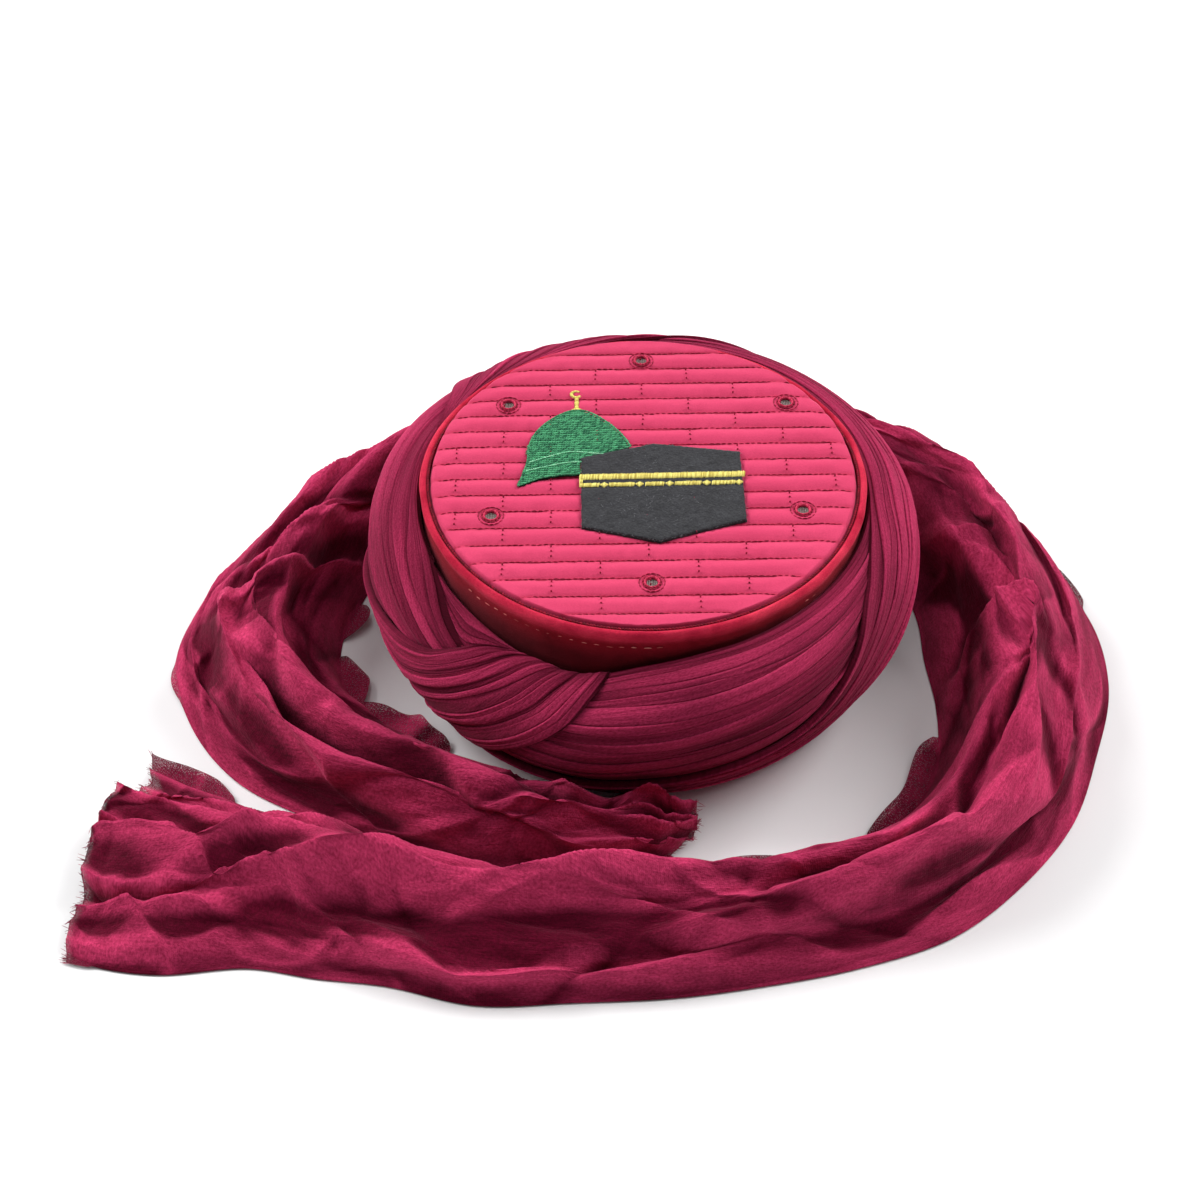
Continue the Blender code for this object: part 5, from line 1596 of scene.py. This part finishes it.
# Outline of the dome from its left foot over the top to the cube, and back along its foot,
# in metres from the axis
DOME_BACK = (
    (-0.0544, -0.0087), (-0.0520, 0.0005), (-0.0506, 0.0079), (-0.0501, 0.0174), (-0.0472, 0.0266),
    (-0.0414, 0.0346), (-0.0346, 0.0401), (-0.0296, 0.0418), (-0.0242, 0.0408), (-0.0178, 0.0359),
    (-0.0123, 0.0297), (-0.0078, 0.0229), (-0.0053, 0.0170),
)
DOME_FRONT = (
    (-0.0275, 0.0095), (-0.0275, -0.0008), (-0.0355, -0.0015), (-0.0444, -0.0035), (-0.0496, -0.0061),
    (-0.0544, -0.0087),
)
DOME_LINES = (
    ((-0.0498, 0.0066), (-0.0416, 0.0103), (-0.0320, 0.0136), (-0.0232, 0.0129), (-0.0180, 0.0123)),
    ((-0.0511, 0.0011), (-0.0428, 0.0037), (-0.0341, 0.0063), (-0.0276, 0.0070)),
)
FILL_TURN = math.radians(27)
FILL_PITCH = 0.00052
FILL_STITCH = 0.0026
DOME_LEVEL = CAP_HEIGHT + 0.0006
DOME_THREAD = 0.00028
FILL_THREAD = 0.00033


def curve_through(places, count):
    return smooth_between(np.array(places), np.linspace(0, len(places) - 1, count))


def inside_polygon(points, outline):
    """Which points lie inside a closed outline, by counting the sides to their right."""
    inside = np.zeros(len(points), bool)
    for a, b in zip(outline, np.roll(outline, -1, 0)):
        crosses = (a[1] > points[:, 1]) != (b[1] > points[:, 1])
        height = b[1] - a[1]
        x = a[0] + (points[:, 1] - a[1]) / (height if abs(height) > 1e-12 else 1e-12) * (b[0] - a[0])
        inside ^= crosses & (points[:, 0] < x)
    return inside


def along_line(line, step, half, inline):
    """Stitches along a line: end to end where inline, or side by side across it."""
    gaps = np.linalg.norm(np.diff(line, axis=0), axis=1)
    place = np.concatenate(((0,), np.cumsum(gaps)))
    level = DOME_LEVEL + 0.0004
    stitches = []
    for at in np.arange(0, gaps.sum(), step):
        here, there = (
            np.array([np.interp(way, place, line[:, k]) for k in (0, 1)]) for way in (at, at + 0.0008)
        )
        forward = there - here
        forward /= np.linalg.norm(forward) + 1e-9
        side = np.array((-forward[1], forward[0]))
        if inline:
            low, high = here, here + forward * 0.0012
        else:
            low, high = here - side * half * 0.6, here + side * half * 0.5 + forward * 0.0003
        stitches.append(((*low, level), (*high, level)))
    return stitches


def make_dome(fill, light, dark):
    chance = np.random.default_rng(51)
    back = curve_through(DOME_BACK, 120)
    outline = np.concatenate((back, DOME_FRONT))
    way = np.array((math.cos(FILL_TURN), math.sin(FILL_TURN)))
    across = np.array((-way[1], way[0]))
    along_places, across_places = outline @ way, outline @ across
    stitches = []
    for row, distance in enumerate(np.arange(across_places.min(), across_places.max(), FILL_PITCH)):
        offset = (row * 0.37 % 1) * FILL_STITCH
        begin = np.arange(along_places.min() - offset, along_places.max(), FILL_STITCH)
        a = begin[:, None] * way + distance * across
        b = a + way * FILL_STITCH * 0.97
        fits = inside_polygon((a + b) / 2, outline)
        for p, q in zip(a[fits], b[fits]):
            jag = chance.normal(0, 0.00007, 4)
            stitches.append(((*(p + jag[:2]), DOME_LEVEL), (*(q + jag[2:]), DOME_LEVEL)))
    sew("dome_fill", "green_thread", stitches, FILL_THREAD, fill, "dome_patch", rise=0.55)
    centre = outline.mean(0)
    rings = [
        at_level(centre + (outline - centre) * f, DOME_LEVEL - sink)
        for f, sink in ((0.01, 0), (0.5, 0), (0.97, 0), (0.985, 0.001))
    ]
    faces = grid_faces(len(rings), len(outline), closed_columns=True)
    marks = {"shade": np.zeros(len(rings) * len(outline))}
    dress(mesh_object("dome_underlay", rings, faces, dark, marks=marks), "green_thread")
    edge = along_line(back, 0.0005, 0.0008, False)
    edge += along_line(curve_through(DOME_FRONT[1:], 60), 0.0005, 0.0007, False)
    inner = [stitch for line in DOME_LINES for stitch in along_line(curve_through(line, 60), 0.0010, 0, True)]
    sew("dome_edge", "green_thread", edge, DOME_THREAD, fill)
    sew("dome_lines", "green_thread", inner, DOME_THREAD, light)


FINIAL_LEFT = -0.0293
FINIAL_FOOT = 0.0421
FINIAL_TOP = 0.0512
CRESCENT_RADIUS = 0.0021
FINIAL_THREAD = 0.00027
EYELET_INNER = 0.0025
EYELET_OUTER = 0.0036
EYELET_THREAD = 0.00034
# Stitched rings round an eyelet: radius and degrees from stitch to stitch
EYELET_SEAMS = ((0.0055, 24), (0.0041, 30))
SEAM_THREAD = 0.0003
NET_RADIUS = 0.0026


def make_finial(finish):
    stitches = []
    level = CAP_HEIGHT + 0.0004
    chance = np.random.default_rng(61)
    for y in np.arange(FINIAL_FOOT, FINIAL_TOP, 0.0004):
        share = (y - FINIAL_FOOT) / (FINIAL_TOP - FINIAL_FOOT)
        half = 0.0009 + 0.0019 * max(0, 1 - share / 0.22) ** 0.8
        half += chance.normal(0, 0.00012)
        stitches.append(((FINIAL_LEFT - half, y, level), (FINIAL_LEFT + half, y + 0.0003, level)))
    centre = np.array((FINIAL_LEFT - 0.0003, FINIAL_TOP + CRESCENT_RADIUS + 0.0002))
    for turn in np.radians(np.arange(48, 330, 11)):
        out = np.array((math.cos(turn), math.sin(turn)))
        half = 0.0005 + 0.0003 * math.sin((turn - 0.8) / 2)
        stitches.append([(*(centre + out * (CRESCENT_RADIUS + side)), level) for side in (-half, half)])
    sew("finial_stitches", "gold_thread", stitches, FINIAL_THREAD, finish, "finial")


def round_place(eyelet, radius, turn, level):
    return eyelet.right + radius * math.cos(turn), eyelet.back + radius * math.sin(turn), level


def make_eyelets(ring_finish, dark_finish, net_finish):
    for number, one in enumerate(EYELETS, 1):
        ring = []
        for k, turn in enumerate(np.radians(np.arange(0, 360, 8.6))):
            outer = EYELET_OUTER + 0.00012 * math.sin(k * 2.1)
            ring.append((
                round_place(one, EYELET_INNER, turn, CAP_HEIGHT + 0.0001),
                round_place(one, outer, turn + 0.05, CAP_HEIGHT),
            ))
        sew(
            f"eyelet_ring_{number}", "eyelet_thread", ring, EYELET_THREAD, ring_finish,
            f"eyelet_{number}", rise=0.9,
        )
        seam = [
            [round_place(one, radius, way, CAP_HEIGHT) for way in (turn, turn + math.radians(step * 0.93))]
            for radius, step in EYELET_SEAMS
            for turn in np.radians(np.arange(0, 360, step))
        ]
        sew(f"eyelet_seam_{number}", "eyelet_thread", seam, SEAM_THREAD, dark_finish, rise=0.2)
        radius = np.linspace(0, NET_RADIUS, 9)[:, None]
        turn = np.linspace(0, 2 * np.pi, 40, endpoint=False)[None]
        x, y = radius * np.cos(turn), radius * np.sin(turn)
        level = CAP_HEIGHT - 0.0007 - 0.0004 * (1 - (radius / NET_RADIUS) ** 2) + 0 * turn
        points = np.stack((one.right + x, one.back + y, level), -1)
        faces = grid_faces(*x.shape, closed_columns=True)
        disk = mesh_object(f"eyelet_net_{number}", points, faces, net_finish, np.stack((x, y), -1))
        dress(disk, "eyelet_thread")


# Stage

SKY_SHADE = 0.16
HORIZON_TOP = 0.16
FLOOR_REACH = 6.0
Sun = namedtuple("Sun", "name side strength degrees")
SUNS = (
    Sun("softbox", (-0.05, 0.60, 1.0), 0.5, 45),
    Sun("left", (-1.0, 0.45, 0.72), 3.8, 40),
    Sun("right", (1.0, 0.50, 0.72), 3.2, 40),
    Sun("top", (0.1, 0.0, 1.0), 0.6, 60),
)


def make_floor():
    finish = Finish("pale_floor", 0.9, Specular_IOR_Level=0.1)
    speckle = finish.noise(finish.place(), 6.0, 2.0)
    base = finish.ramp(speckle, (0.4, (0.80, 0.80, 0.805)), (0.6, (0.82, 0.82, 0.825)))
    corners = FLOOR_REACH * np.array(((-1, -1, 0), (1, -1, 0), (1, 1, 0), (-1, 1, 0)))
    floor = mesh_object("floor", corners - AXIS, [(0, 1, 2, 3)], finish.finish(base), smooth=False)
    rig.stage(floor)


def make_sun(sun):
    """A soft light from one side, as even over the floor as a large softbox."""
    data = bpy.data.lights.new(sun.name, "SUN")
    data.energy = sun.strength
    data.angle = math.radians(sun.degrees)
    lamp = bpy.data.objects.new(sun.name, data)
    lamp.rotation_euler = (-Vector(sun.side)).to_track_quat("-Z", "Y").to_euler()
    bpy.context.scene.collection.objects.link(lamp)


def make_studio():
    world = bpy.data.worlds.new("studio")
    world.use_nodes = True
    tree = world.node_tree
    direction = tree.nodes.new("ShaderNodeTexCoord").outputs["Generated"]
    split = tree.nodes.new("ShaderNodeSeparateXYZ")
    tree.links.new(direction, split.inputs[0])
    sky = tree.nodes.new("ShaderNodeValToRGB")
    tree.links.new(split.outputs["Z"], sky.inputs[0])
    stops = ((0.0, 1.0), (HORIZON_TOP / 2, 1.0), (HORIZON_TOP, SKY_SHADE))
    sky.color_ramp.elements.new(0.5)
    for element, (position, shade) in zip(sky.color_ramp.elements, stops):
        element.position = position
        element.color = (shade, shade, shade, 1.0)
    tree.links.new(sky.outputs[0], tree.nodes["Background"].inputs["Color"])
    bpy.context.scene.world = world
    bpy.context.scene.view_settings.view_transform = "Standard"
    for sun in SUNS:
        make_sun(sun)


def make_camera():
    data = bpy.data.cameras.new("camera")
    data.lens = CAMERA_LENS
    data.sensor_width = SENSOR_WIDTH
    camera = bpy.data.objects.new("camera", data)
    camera.location = Vector(CAMERA_PLACE) + Vector(AXIS)
    camera.rotation_euler = (CAMERA_TILT, 0, 0)
    bpy.context.scene.collection.objects.link(camera)
    bpy.context.scene.camera = camera


def build():
    make_floor()
    make_studio()
    make_camera()
    wound = muslin("wound_muslin", WOUND_PAINTED_LIGHT, WOUND_PAINTED_SHADE)
    loose = muslin("loose_muslin", MUSLIN_PAINTED_LIGHT, MUSLIN_PAINTED_SHADE, loose=True)
    make_quilt(quilted_cotton())
    make_velvet_band(velvet())
    for one in PASSES:
        make_pass(one, wound)
    for one in TAILS:
        make_tail(one, loose)
    red = thread("red_thread", (0.17, 0.002, 0.018), (0.36, 0.008, 0.045))
    make_quilt_stitches(red)
    make_rim_cord(thread("dark_red_thread", (0.09, 0.001, 0.008), (0.30, 0.004, 0.026)))
    make_velvet_stitches(thread("salmon_thread", (0.36, 0.05, 0.05), (0.66, 0.20, 0.18)))
    make_felt_patch(felt())
    make_hairs(thread("grey_hair", (0.04, 0.04, 0.045), (0.26, 0.26, 0.28), 0.8))
    gold = thread("gold_thread", (0.40, 0.29, 0.035), (0.84, 0.76, 0.22), 0.4)
    make_gold(gold)
    make_dome(
        thread("green_thread", (0.008, 0.085, 0.042), (0.09, 0.40, 0.19)),
        thread("light_green_thread", (0.16, 0.50, 0.28), (0.38, 0.78, 0.50)),
        thread("dark_green_thread", (0.006, 0.05, 0.025), (0.02, 0.12, 0.06)),
    )
    make_finial(gold)
    make_eyelets(thread("rose_thread", (0.36, 0.010, 0.045), (0.66, 0.045, 0.115)), red, net())


build()
visual_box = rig.bounds()
with open("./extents.json", "w") as out:
    json.dump({
        "cad": [list(corner) for corner in cad_box],
        "visual": [list(corner) for corner in visual_box],
    }, out)
